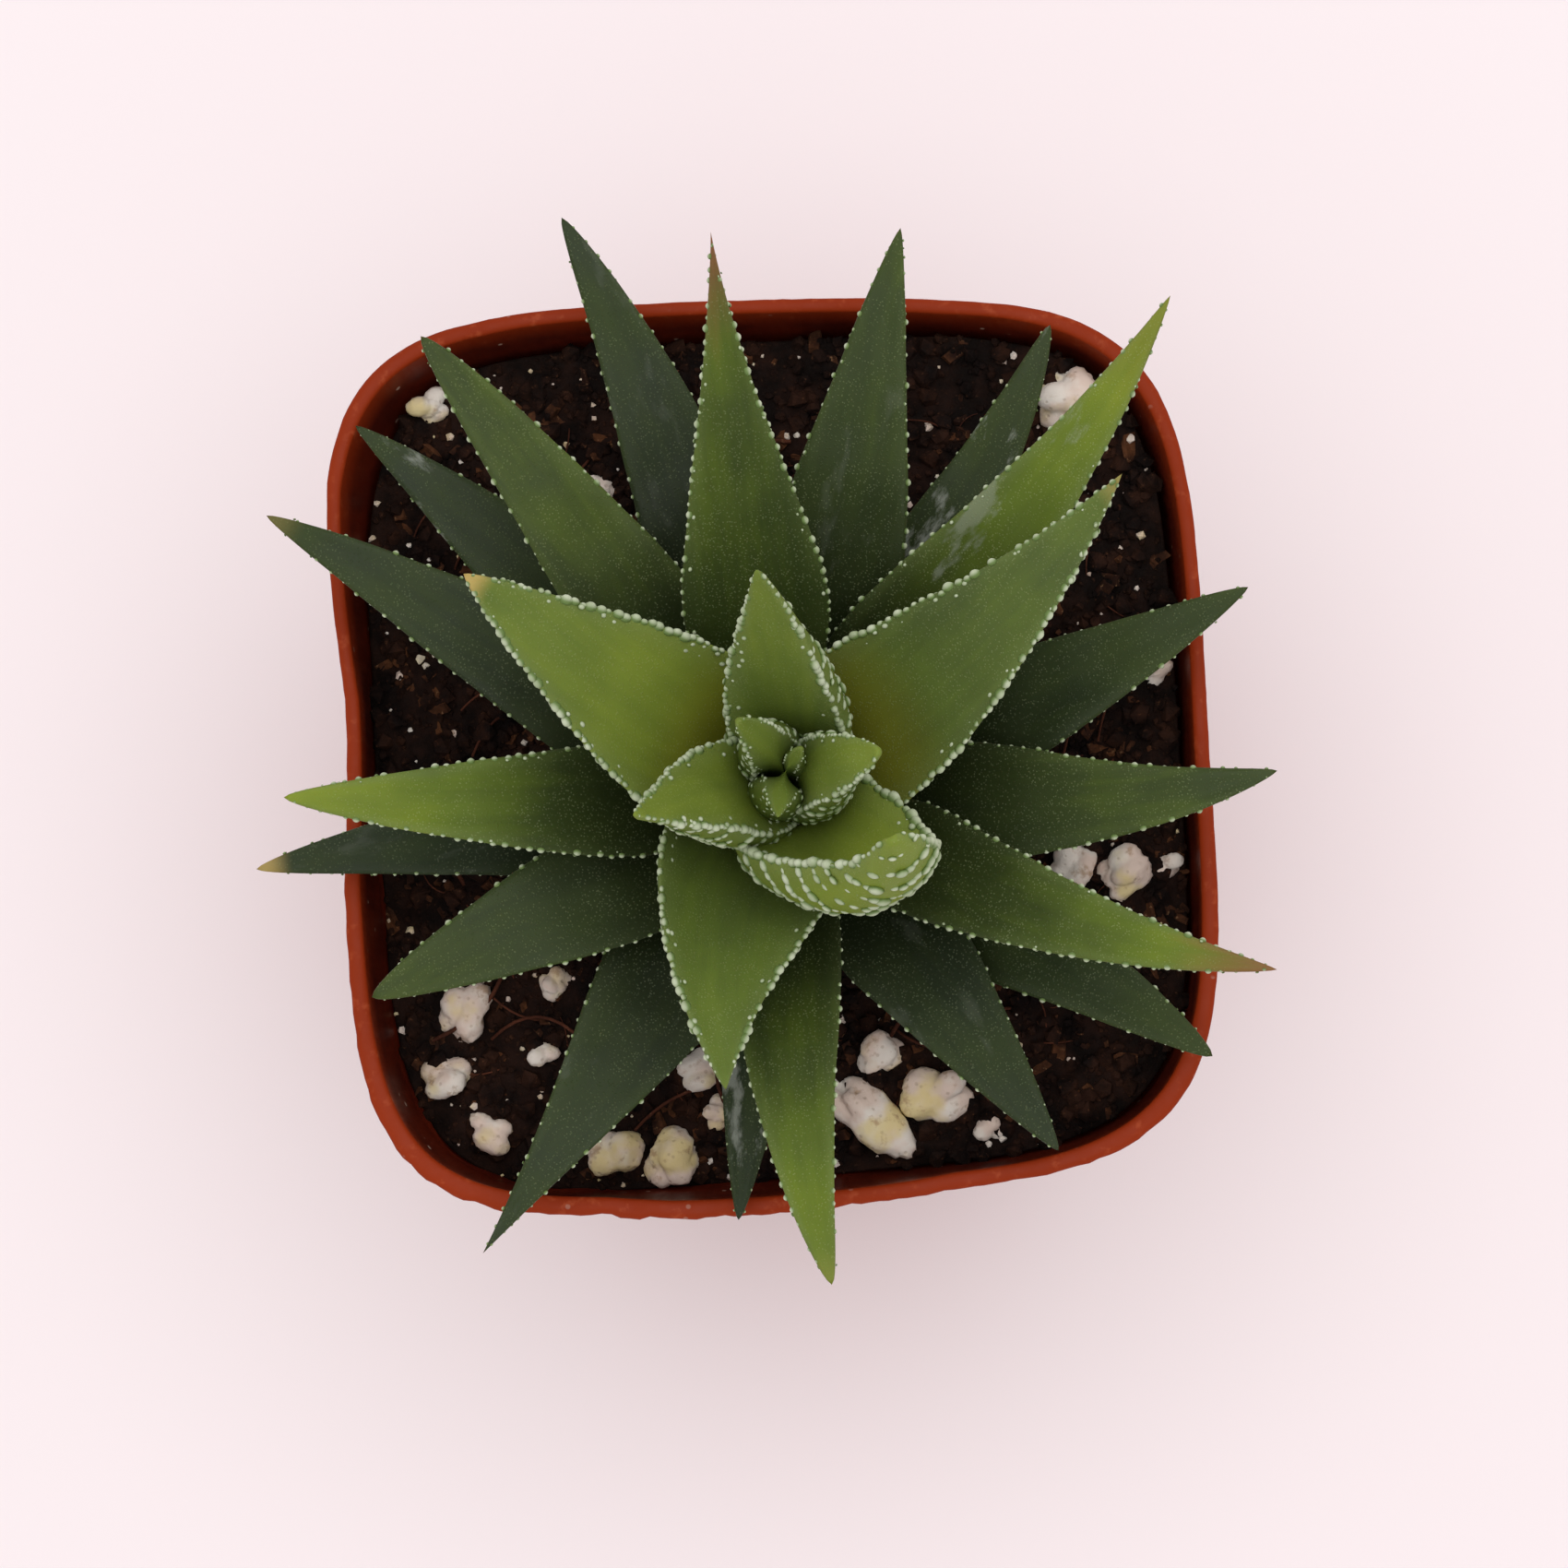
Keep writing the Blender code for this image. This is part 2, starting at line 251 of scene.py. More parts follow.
# pot: thin pressed plastic, a rounded square with a stepped collar and a rough trimmed lip
pot = {
    "halfX": 30.5 * mm, "halfY": 31.6 * mm, "height": 58.0 * mm, "squareness": 4.75, "lean": 0.028,
    "sheet": 0.65 * mm, "taper": 7.7 * mm, "footEdge": 1.0 * mm, "segments": 320,
    "collarDepth": 8.8 * mm, "collarStep": 0.8 * mm, "collarTaper": 1.0 * mm,
    "lipOut": 0.35 * mm, "lipDeep": 0.6 * mm, "lipExtra": 0.2 * mm,
    "holeRadius": 3.2 * mm, "holeOffset": 13.0 * mm, "holeSides": 40,
    "nickDepth": 0.15 * mm, "wobble": 0.1 * mm,
    "dents": ((170, 24, 0.75 * mm), (146, 24, -0.6 * mm), (98, 32, -0.4 * mm),   # heading, width, depth
              (240, 14, 0.2 * mm), (268, 22, -0.6 * mm)),
    "edgeWave": 0.14 * mm, "beadDrop": 0.34 * mm,
}
clearance = 0.3 * mm


def outlinePoint(turn, inset):
    halfX, halfY = pot["halfX"] - inset, pot["halfY"] - inset
    across, along = math.cos(turn), math.sin(turn)
    size = abs(across / halfX) ** pot["squareness"] + abs(along / halfY) ** pot["squareness"]
    reach = size ** (-1.0 / pot["squareness"])
    return Vector((across * reach, along * reach * (1.0 - pot["lean"] * across * reach / halfX)))


def wallInset(height):
    step = pot["height"] - pot["collarDepth"]
    top = pot["lipOut"] + pot["collarTaper"]
    if height >= step:
        return pot["lipOut"] + pot["collarTaper"] * (pot["height"] - height) / pot["collarDepth"]
    return top + pot["collarStep"] + pot["taper"] * (1.0 - height / step)


def smooth(share):
    share = min(1.0, max(0.0, share))
    return share * share * (3.0 - 2.0 * share)


def bump(value, middle, width):
    away = abs((value - middle + 180.0) % 360.0 - 180.0) / width
    return max(0.0, 1.0 - away * away)


def potRings():
    top, step = pot["height"], pot["height"] - pot["collarDepth"]
    under, sheet, foot = step - pot["collarStep"], pot["sheet"], pot["footEdge"]
    rings = []                          # inset, height, inside share, lip share
    for part in range(7):               # rounded edge at the foot
        turn = math.pi / 2 * part / 6
        rings.append((wallInset(foot) + foot * (1 - math.sin(turn)), foot * (1 - math.cos(turn)), 0, 0))
    for part in range(1, 15):
        height = foot + (under - foot) * part / 14
        rings.append((wallInset(height), height, 0, 0))
    for part in range(1, 7):            # the shoulder under the collar
        share = part / 6
        ease = share * share * (3 - 2 * share)
        inset = wallInset(under) + (wallInset(step) - wallInset(under)) * ease
        rings.append((inset, under + (step - under) * share, 0, 0))
    for part in range(1, 7):
        height = step + (top - pot["lipDeep"] * 2 - step) * part / 6
        rings.append((wallInset(height), height, 0, 0))
    rings.append((0.1 * mm, top - pot["lipDeep"] * 1.4, 0, 0.6))
    wide = pot["lipOut"] + sheet
    for part in range(9):               # the bead of the lip
        turn = math.pi * part / 8
        height = top - pot["beadDrop"] * (1 - math.sin(turn) ** 0.7)
        rings.append((wide * (0.5 - 0.5 * math.cos(turn)), height, 0, 1.0))
    for part in range(1, 8):
        height = top - 0.4 * mm + (step - sheet - top + 0.4 * mm) * part / 7
        rings.append((wallInset(height) + sheet, height, min(1, part / 2), 0))
    for part in range(1, 5):
        share = part / 4
        rings.append((wallInset(step) + sheet + (wallInset(under) - wallInset(step)) * share,
                      step - sheet + (under - step) * share, 1, 0))
    for part in range(1, 9):
        height = under - sheet + (sheet * 2 - under + sheet) * part / 8
        rings.append((wallInset(height) + sheet, height, 1, 0))
    rings.append((wallInset(sheet) + sheet * 1.6, sheet, 1, 0))
    return rings


def makePot(material):
    rings = potRings()
    points, inside = [], []
    lowest = pot["height"] - pot["collarDepth"]
    for inset, height, inner, lip in rings:
        for part in range(pot["segments"]):
            turn = 2 * math.pi * part / pot["segments"]
            degrees = math.degrees(turn)
            extra = bump(degrees, 225, 60) + 0.7 * bump(degrees, 290, 70) + 0.35 * bump(degrees, 340, 50)
            south = bump(degrees, 232, 40) + 0.9 * bump(degrees, 275, 45)
            place = inset
            reach = smooth((height - lowest) / (pot["height"] - lowest))
            for middle, width, depth in pot["dents"]:
                place += depth * reach * bump(degrees, middle, width)
            if inner and height > pot["height"] - 2 * mm:
                place += pot["lipExtra"] * extra * (1 - (pot["height"] - height) / (2 * mm))
            ringSpot = Vector((math.cos(turn), math.sin(turn), 0))
            if lip:
                place += pot["lipExtra"] * extra * max(0.0, inset / (pot["lipOut"] + pot["sheet"]))
                rough = noise.noise(ringSpot * 22 + Vector((0, 0, 3.1)))
                rough += 0.6 * noise.noise(ringSpot * 60 + Vector((0, 0, 7.7)))
                outer = 1 - inset / (pot["lipOut"] + pot["sheet"])
                place += pot["nickDepth"] * rough * (0.25 + south) * outer
            spot = outlinePoint(turn, place)
            sway = pot["wobble"] * noise.noise(ringSpot * 2.5 + Vector((0, 0, height * 40)))
            spot *= 1 + sway / spot.length
            rise = pot["edgeWave"] * lip * noise.noise(ringSpot * 5 + Vector((0, 0, 1.3)))
            points.append((spot.x, spot.y, height + rise))
            inside.append(inner)
    count = pot["segments"]
    points += [(0, 0, 0), (0, 0, pot["sheet"])]
    inside += [0, 1]
    faces = tubeFaces(len(rings), count, len(points) - 2, len(points) - 1)
    mesh = meshOf("pot_shell", points, faces, material)
    store(mesh, "inside", "FLOAT", "POINT", inside)
    shell = bpy.data.objects.new("pot_shell", mesh)
    bpy.context.scene.collection.objects.link(shell)
    cutters = []
    for signX in (-1, 1):
        for signY in (-1, 1):
            bm = bmesh.new()
            bmesh.ops.create_cone(bm, cap_ends=True, segments=pot["holeSides"], radius1=pot["holeRadius"],
                                  radius2=pot["holeRadius"], depth=pot["sheet"] * 4)
            middle = (signX * pot["holeOffset"], signY * pot["holeOffset"], pot["sheet"] * 0.5)
            bmesh.ops.translate(bm, verts=bm.verts, vec=middle)
            drill = bpy.data.meshes.new("drill")
            bm.to_mesh(drill)
            bm.free()
            drill.materials.append(material)
            cutter = bpy.data.objects.new("drill", drill)
            bpy.context.scene.collection.objects.link(cutter)
            carve = shell.modifiers.new("hole", "BOOLEAN")
            carve.operation, carve.solver, carve.object = "DIFFERENCE", "EXACT", cutter
            cutters.append(cutter)
    graph = bpy.context.evaluated_depsgraph_get()
    made = bpy.data.meshes.new_from_object(shell.evaluated_get(graph), preserve_all_data_layers=True,
                                           depsgraph=graph)
    made.name = "pot_shape"
    for spare in cutters + [shell]:
        bpy.data.objects.remove(spare, do_unlink=True)
    return makePiece("pot_plastic_shell", made, ("pot",))


plasticPaint = {
    "dark": (0.215, 0.022, 0.004), "light": (0.31, 0.035, 0.007), "worn": (0.50, 0.11, 0.04),
    # inside: the inner wall's darkening, partly real dirt and partly painted shade in the gap above the soil
    "inside": (0.06, 0.007, 0.0035), "speck": (0.55, 0.38, 0.30), "specular": 0.08,
    "scuffScale": (900, 900, 60), "bump": 0.05 * mm,
}


def plasticMaterial(paint):
    material, tree, shader = newMaterial("terracottaPlastic", 0.4, paint["specular"])
    spot = objectSpot(tree)
    broad = noisy(tree, spot, 60, 3)
    fine = noisy(tree, spot, 900, 4, 0.6)
    scuff = noisy(tree, stretched(tree, spot, paint["scuffScale"]), 1.0, 4)
    colour = mix(tree, broad, paint["dark"], paint["light"])
    colour = mix(tree, spread(tree, fine, 0.55, 0.75, 0.0, 0.35), colour, paint["worn"])
    inner = attribute(tree, "inside")
    # the inner wall is darkened in blotches: partly real dirt, partly painted shade where little light
    # reaches above the soil
    insideDirtAndShade = spread(tree, noisy(tree, spot, 260, 4, 0.6), 0.3, 0.7, 0.72, 1.0)
    colour = mix(tree, times(tree, inner, insideDirtAndShade), colour, paint["inside"])
    speck = spread(tree, dots(tree, spot, 700), 0.10, 0.16, 1.0, 0.0)
    keep = spread(tree, noisy(tree, spot, 320, 2), 0.56, 0.62)
    amount = times(tree, times(tree, speck, keep), calc(tree, "MULTIPLY_ADD", inner, 0.6, 0.25))
    colour = mix(tree, amount, colour, paint["speck"])
    rough = spread(tree, scuff, 0.3, 0.7, 0.34, 0.56, False)
    height = calc(tree, "MULTIPLY_ADD", scuff, 0.5, fine)
    finishMaterial(tree, shader, colour, rough, height, 0.35, paint["bump"])
    return material


makePot(plasticMaterial(plasticPaint))
print("pot made")

# soil: dark peat, tilted and rough, with crumbs, fibres, bark and pale specks
soil = {
    "underLip": 5.0 * mm, "edgeDrop": 1.0 * mm, "tiltX": 0.05, "tiltY": 0.06, "wave": 0.45 * mm,
    "rings": 84, "around": 260, "lump": 0.45 * mm, "grit": 0.3 * mm,
    "fibreReach": 0.86,
}


def soilLevel(x, y):
    out = max(abs(x) / pot["halfX"], abs(y) / pot["halfY"])
    level = pot["height"] - soil["underLip"] - soil["edgeDrop"] * out * out
    level += soil["tiltX"] * x * out + soil["tiltY"] * y * out
    wave = math.sin(x * 420.0 + 1.3) * math.cos(y * 380.0) + 0.6 * math.sin((x - y) * 730.0)
    return level + soil["wave"] * wave


def soilRough(x, y):
    spot = Vector((x, y, 0.0))
    lump = noise.noise(spot * 330)
    grit = noise.noise(spot * 900) + 0.7 * noise.noise(spot * 2100) + 0.3 * abs(noise.noise(spot * 4200))
    return soil["lump"] * lump + soil["grit"] * grit


def makeSoil(material):
    inset = pot["lipOut"] + pot["collarTaper"] * 0.7 + pot["sheet"] + clearance
    step = pot["height"] - pot["collarDepth"]
    under = step - pot["collarStep"]
    count = soil["around"]
    points, top, inner = [], [], []
    low = [(wallInset(pot["sheet"]) + pot["sheet"] + clearance, pot["sheet"] + clearance),
           (wallInset(under) + pot["sheet"] + clearance, under - pot["sheet"] + clearance),
           (wallInset(step) + pot["sheet"] + clearance, step - pot["sheet"] + clearance)]
    for edge, height in low:
        for part in range(count):
            spot = outlinePoint(2 * math.pi * part / count, edge)
            points.append((spot.x, spot.y, height))
            top.append(False)
            inner.append(False)
    for ring in range(soil["rings"]):
        share = 1.0 - (ring / soil["rings"]) ** 1.15
        for part in range(count):
            spot = outlinePoint(2 * math.pi * part / count, inset) * share
            lift = soilRough(spot.x, spot.y) * min(1.0, (1.0 - share) * 14 + 0.35)
            points.append((spot.x, spot.y, soilLevel(spot.x, spot.y) + lift))
            top.append(ring > 0)
            inner.append(share < soil["fibreReach"])
    points += [(0, 0, pot["sheet"] + clearance), (0, 0, soilLevel(0, 0))]
    top += [False, False]
    inner += [False, False]
    faces = tubeFaces(len(low) + soil["rings"], count, len(points) - 2, len(points) - 1)
    mesh = meshOf("soil_bed", points, faces, material)
    store(mesh, "top", "BOOLEAN", "POINT", top)
    store(mesh, "inner", "BOOLEAN", "POINT", inner)
    return makePiece("soil_peat", mesh, ("soil",))


def peatMaterial(name, dark, light, glint):
    material, tree, shader = newMaterial(name, 0.9, 0.12)
    spot = objectSpot(tree)
    patch = noisy(tree, spot, 420, 4, 0.6)
    grain = noisy(tree, spot, 2400, 3, 0.6)
    colour = mix(tree, spread(tree, patch, 0.35, 0.72), dark, light)
    colour = mix(tree, spread(tree, grain, 0.6, 0.78, 0.0, 0.6), colour, glint)
    rough = spread(tree, grain, 0.3, 0.7, 0.78, 0.97, False)
    finishMaterial(tree, shader, colour, rough, grain, 0.8, 0.15 * mm)
    return material


def named(tree, name, kind):
    return add(tree, "GeometryNodeInputNamedAttribute", {"Name": name}, data_type=kind).outputs["Attribute"]


def randomVector(tree, low, high, seedValue=0):
    made = add(tree, "FunctionNodeRandomValue", {"Min": low, "Max": high, "Seed": seedValue},
               data_type="FLOAT_VECTOR")
    return made.outputs[0]


def closeTree(tree, geometry, material):
    real = add(tree, "GeometryNodeRealizeInstances", {"Geometry": geometry})
    made = add(tree, "GeometryNodeSetMaterial", {"Geometry": real.outputs[0], "Material": material})
    return made.outputs[0]


def scatterTree(name, shape, bow, tilt):
    # points on the flagged top of the bed, each with one small piece, turned and sized at random
    tree, source, end = newTree(name, {"density": 1.0, "size": 1.0 * mm, "seed": 3})
    keep = named(tree, "inner" if shape == "fibre" else "top", "BOOLEAN")
    points = add(tree, "GeometryNodeDistributePointsOnFaces",
                 {"Mesh": source["Geometry"], "Selection": keep, "Density": source["density"],
                  "Seed": source["seed"]})
    if shape == "lump":
        form = add(tree, "GeometryNodeMeshIcoSphere", {"Radius": 0.5, "Subdivisions": 1}).outputs["Mesh"]
    elif shape == "chip":
        form = add(tree, "GeometryNodeMeshCube", {"Size": (1.0, 0.42, 0.22)}).outputs["Mesh"]
    else:
        curve = add(tree, "GeometryNodeCurveQuadraticBezier",
                    {"Resolution": 9, "Start": (-0.5, 0.0, -0.06), "Middle": (0.05, 0.22 + bow, 0.3),
                     "End": (0.5, -0.05, -0.08)})
        ring = add(tree, "GeometryNodeCurvePrimitiveCircle", {"Resolution": 5, "Radius": 0.016})
        thread = {"Curve": curve.outputs[0], "Profile Curve": ring.outputs[0], "Fill Caps": True}
        form = add(tree, "GeometryNodeCurveToMesh", thread).outputs[0]
    if shape != "fibre":
        dent = randomVector(tree, (-0.16,) * 3, (0.16,) * 3)
        form = add(tree, "GeometryNodeSetPosition", {"Geometry": form, "Offset": dent}).outputs[0]
    turn = randomVector(tree, (-tilt, -tilt, 0.0), (tilt, tilt, 6.283), source["seed"])
    grow = add(tree, "FunctionNodeRandomValue", {2: 0.0, 3: 1.0, "Seed": source["seed"]}).outputs[1]
    large = calc(tree, "MULTIPLY_ADD", calc(tree, "POWER", grow, 2.2), 1.0, 0.42)   # few large, many small
    scale = times(tree, large, source["size"])
    even = add(tree, "ShaderNodeCombineXYZ", {0: scale, 1: scale, 2: scale})
    put = add(tree, "GeometryNodeInstanceOnPoints", {"Points": points.outputs["Points"], "Instance": form,
                                                     "Rotation": turn, "Scale": even.outputs[0]})
    tree.links.new(closeTree(tree, put.outputs[0], source["material"]), end["Geometry"])
    return tree


scatter = {
    "soil_crumbs": ("lump", 1.25 * mm, 850000.0, 0.0, 3.1, "crumb"),
    "soil_dust": ("lump", 0.5 * mm, 1100000.0, 0.0, 3.1, "crumb"),
    "soil_fibres": ("fibre", 5.5 * mm, 70000.0, 0.0, 0.35, "fibre"),
    "soil_threads": ("fibre", 8.0 * mm, 16000.0, 0.25, 0.3, "fibre"),
    "soil_bark": ("chip", 1.4 * mm, 200000.0, 0.0, 0.6, "bark"),
    "soil_specks": ("lump", 0.55 * mm, 130000.0, 0.0, 3.1, "speck"),
}


def mineralMaterial(name):
    material, tree, shader = newMaterial(name, 0.85, 0.3)
    spot = objectSpot(tree)
    patch = noisy(tree, spot, 330, 3, 0.55)
    fine = noisy(tree, spot, 2600, 4, 0.6)
    pits = spread(tree, dots(tree, spot, 1500), 0.1, 0.28, 0.0, 1.0)
    colour = mix(tree, spread(tree, patch, 0.42, 0.62), (0.74, 0.59, 0.50), (0.80, 0.73, 0.65))
    yellow = spread(tree, noisy(tree, spot, 260, 3), 0.5, 0.68, 0.0, 0.8)
    colour = mix(tree, yellow, colour, (0.72, 0.58, 0.24))
    brown = spread(tree, noisy(tree, spot, 760, 4, 0.65), 0.54, 0.7, 0.0, 0.7)
    colour = mix(tree, brown, colour, (0.40, 0.24, 0.13))
    colour = mix(tree, spread(tree, pits, 0.0, 1.0, 0.35, 0.0), colour, (0.35, 0.24, 0.15))
    rough = spread(tree, fine, 0.3, 0.7, 0.75, 0.95, False)
    finishMaterial(tree, shader, colour, rough, calc(tree, "MULTIPLY_ADD", pits, 0.7, fine), 0.5, 0.12 * mm)
    return material


mineral = mineralMaterial("paleMineral")
finishes = {
    "crumb": peatMaterial("peatCrumb", (0.005, 0.0025, 0.002), (0.034, 0.013, 0.007), (0.13, 0.055, 0.027)),
    "fibre": peatMaterial("rootFibre", (0.045, 0.014, 0.008), (0.11, 0.035, 0.018), (0.22, 0.11, 0.06)),
    "bark": peatMaterial("barkChip", (0.02, 0.008, 0.005), (0.12, 0.045, 0.018), (0.40, 0.22, 0.11)),
    "speck": mineral,
}
bedFinish = peatMaterial("peatBed", (0.0045, 0.0022, 0.0015), (0.02, 0.008, 0.005), (0.055, 0.026, 0.015))
bed = makeSoil(bedFinish)
for order, (name, (shape, size, density, bow, tilt, finish)) in enumerate(scatter.items()):
    piece = makePiece(name, bed.data.copy())
    tree = scatterTree(name + "Tree", shape, bow, tilt)
    growTree(piece, tree, {"size": size, "density": density, "seed": seed + order,
                           "material": finishes[finish]})
    print(name, len(piece.data.polygons), "faces")

# mineral grains: clusters of rounded lobes with small pits
grains = {
    "level": 4, "lobeSize": 0.6, "lobeSpread": 0.62, "core": 0.56, "grow": 1.18, "sharpness": 10.0,
    "roughness": 0.06,
    "shapes": {                          # length, width, height (mm), heading (degrees), lobes
        "grain_01": (3.9, 3.1, 2.6, 60, 9), "grain_02": (3.2, 2.7, 2.2, 20, 7),
        "grain_03": (2.9, 2.3, 2.0, -20, 6), "grain_04": (2.2, 1.9, 1.6, 40, 6),
        "grain_05": (2.1, 1.8, 1.5, 0, 5), "grain_06": (3.7, 3.0, 2.6, 10, 10),
        "grain_07": (3.9, 3.3, 2.6, 80, 12), "grain_08": (2.2, 2.0, 1.7, 30, 6),
        "grain_09": (3.4, 2.6, 2.2, 15, 9), "grain_10": (7.2, 3.2, 2.8, -45, 16),
        "grain_11": (4.4, 3.8, 3.0, 20, 11), "grain_12": (2.9, 2.6, 2.1, 50, 7),
        "grain_13": (2.0, 1.7, 1.4, 10, 5), "grain_14": (3.1, 2.7, 2.3, 70, 8),
        "grain_15": (3.2, 2.9, 2.4, 30, 8), "grain_16": (1.9, 1.6, 1.4, 0, 5),
        "grain_17": (2.1, 1.8, 1.5, 25, 5), "grain_18": (4.2, 3.4, 2.8, 40, 9),
        "grain_19": (2.7, 2.1, 1.8, 15, 6), "grain_20": (1.9, 1.6, 1.4, 0, 5),
    },
}


def makeGrain(name, shape, chooser):
    low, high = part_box(name)
    centre = (low + high) * 0.5
    *wanted, turn, lobes = shape
    bm = bmesh.new()
    bmesh.ops.create_icosphere(bm, subdivisions=grains["level"], radius=1.0)
    spots = []
    for _ in range(lobes):
        away = Vector((chooser.uniform(-1, 1), chooser.uniform(-1, 1), chooser.uniform(-1, 1)))
        away = away.normalized() * grains["lobeSpread"] * chooser.uniform(0.75, 1.05)
        spots.append((away, grains["lobeSize"] * chooser.uniform(0.55, 0.85)))
    for vert in bm.verts:
        ray = vert.co.normalized()
        total = math.exp(grains["sharpness"] * grains["core"])
        for away, size in spots:
            along = ray.dot(away)
            miss = size * size - (away.length_squared - along * along)
            if miss > 0:
                total += math.exp(grains["sharpness"] * (along + math.sqrt(miss)))
        reach = math.log(total) / grains["sharpness"]
        grit = noise.noise(ray * 5 + Vector((lobes, 0, 0))) + noise.noise(ray * 13)
        reach *= 1 + grains["roughness"] * grit
        vert.co = ray * reach
    bmesh.ops.recalc_face_normals(bm, faces=bm.faces)
    sizes = [max(v.co[axis] for v in bm.verts) - min(v.co[axis] for v in bm.verts) for axis in range(3)]
    spin = Matrix.Rotation(math.radians(turn), 4, "Z")
    for vert in bm.verts:
        fit = Vector([vert.co[axis] * wanted[axis] / sizes[axis] for axis in range(3)])
        vert.co = centre + spin @ (fit * grains["grow"] * mm)
    mesh = bpy.data.meshes.new(name + "_lump")
    bm.to_mesh(mesh)
    bm.free()
    mesh.materials.append(mineral)
    mesh.polygons.foreach_set("use_smooth", [True] * len(mesh.polygons))
    makePiece(name + "_lump", mesh, (name,))


for order, (name, shape) in enumerate(grains["shapes"].items()):
    makeGrain(name, shape, random.Random(seed * 100 + order))
print("grains made")

# plant: where its axis stands, and how leaves follow one another up the stem
plant = {
    "stemX": 0.2 * mm, "stemY": -3.2 * mm, "leanX": 0.056, "leanY": -0.008,
    "stemFoot": 3.0 * mm, "stemTop": 0.35 * mm, "levelStep": 2.0 * mm, "levelFirst": 1.3 * mm,
    "levels": 8.0, "angleFirst": 18.0, "angleStep": 8.0,
    "rings": 66, "sides": 32, "edge": 0.5 * mm, "baseThick": 0.9 * mm, "fullest": 1.75,
    "wedge": 27.0, "coreWedge": 64.0, "coreLevel": 4.0, "channel": 0.07, "handle": 0.38,
    "ripple": 0.10 * mm, "bandEvery": 1.7 * mm, "shadeLow": 0.68, "shadeMid": 0.3, "bloom": 0.12,
}
# level; heading at foot, middle and tip (degrees); reach, tip height over the lip and mid width (mm);
# narrowing; thickness (mm); slope of the tip (degrees)
leafShapes = {
    "leaf_01": (0.35, -99, -99, -99, 29.7, 2.4, 5.6, 0.7, 2.2, 6),
    "leaf_02": (0.0, -176, -176, -175, 36.9, 4.0, 6.2, 0.7, 2.2, 4),
    "leaf_03": (0.35, 136, 135, 136, 39.4, 4.0, 7.4, 0.75, 2.2, 5),
    "leaf_04": (0.0, 60, 55, 57, 37.5, 4.0, 6.0, 0.65, 2.1, 5),
    "leaf_05": (0.0, -39, -35, -35, 34.8, 4.4, 7.2, 0.65, 2.3, 6),
    "leaf_06": (1.0, 105, 105, 108, 42.5, 8.0, 7.2, 0.7, 2.4, 8),
    "leaf_07": (1.0, 14, 17, 20, 34.7, 8.0, 7.4, 0.75, 2.4, 10),
    "leaf_08": (1.0, -125, -125, -126, 37.9, 7.5, 7.6, 1.05, 2.5, 8),
    "leaf_09": (1.1, -54, -55, -56, 31.2, 6.5, 7.6, 0.75, 2.4, 8),
    "leaf_10": (1.45, 154, 150, 149, 40.3, 9.2, 7.2, 0.75, 2.4, 8),
    "leaf_11": (2.0, 71, 74, 75, 38.5, 14.0, 8.3, 0.8, 2.5, 10),
    "leaf_12": (2.0, -6, -7, -2, 33.4, 12.0, 7.2, 0.75, 2.6, 8),
    "leaf_13": (2.1, -152, -155, -156, 31.6, 10.0, 8.0, 0.65, 2.6, 8),
    "leaf_14": (2.25, 128, 126, 126, 39.3, 14.0, 7.4, 0.65, 2.5, 10),
    "leaf_15": (3.0, 48, 45, 48, 41.0, 20.0, 6.9, 0.85, 2.8, 12),
    "leaf_16": (3.0, -178, -179, -181, 33.8, 17.0, 6.7, 0.68, 2.7, 8),
    "leaf_17": (2.7, -92, -92, -88, 34.1, 17.0, 6.6, 0.65, 2.7, 10),
    "leaf_18": (3.3, -33, -31, -25, 35.2, 18.0, 6.1, 0.8, 2.8, 6),
    "leaf_19": (3.75, 96, 96, 95, 35.8, 26.0, 8.0, 1.2, 2.9, 22),
    "leaf_20": (4.2, -121, -115, -104, 21.5, 22.0, 10.8, 0.9, 2.8, 30),
    "leaf_21": (4.85, 29, 32, 38, 29.3, 25.0, 9.0, 0.95, 2.9, 20),
    "leaf_22": (4.95, 152, 149, 146, 24.9, 26.0, 10.6, 0.8, 2.9, 24),
    "leaf_23": (5.9, 76, 86, 97, 12.3, 33.0, 8.6, 0.8, 2.3, 58),
    "leaf_24": (5.7, -74, -62, -41, 8.3, 31.0, 11.6, 0.6, 2.3, 118),
    "leaf_25": (6.25, -160, -162, -164, 10.7, 30.0, 7.6, 0.8, 2.1, 58),
    "leaf_26": (7.0, 112, 122, 136, 4.4, 27.5, 4.6, 0.55, 1.7, 58),
    "leaf_27": (6.9, -14, -4, 4, 6.0, 28.0, 6.6, 0.55, 1.9, 52),
    "leaf_28": (7.4, -128, -116, -104, 3.4, 25.5, 3.8, 0.7, 1.5, 52),
    "leaf_29": (8.0, 50, 50, 50, 1.5, 25.8, 3.2, 0.6, 1.4, 66),
}
# roll of the blade (degrees), extra cupping, and how far the inner face swells (mm)
leafTwists = {
    "leaf_20": (0, 0.10, 0.0), "leaf_21": (0, 0.10, 0.0), "leaf_22": (0, 0.06, 0.0),
    "leaf_23": (-20, 0.12, 2.0), "leaf_24": (-32, 0.14, 1.5), "leaf_25": (18, 0.12, 1.9),
    "leaf_26": (0, 0.05, 2.2), "leaf_27": (0, 0.05, 2.0), "leaf_28": (0, 0.0, 2.4),
    "leaf_29": (0, 0.0, 1.4),
}
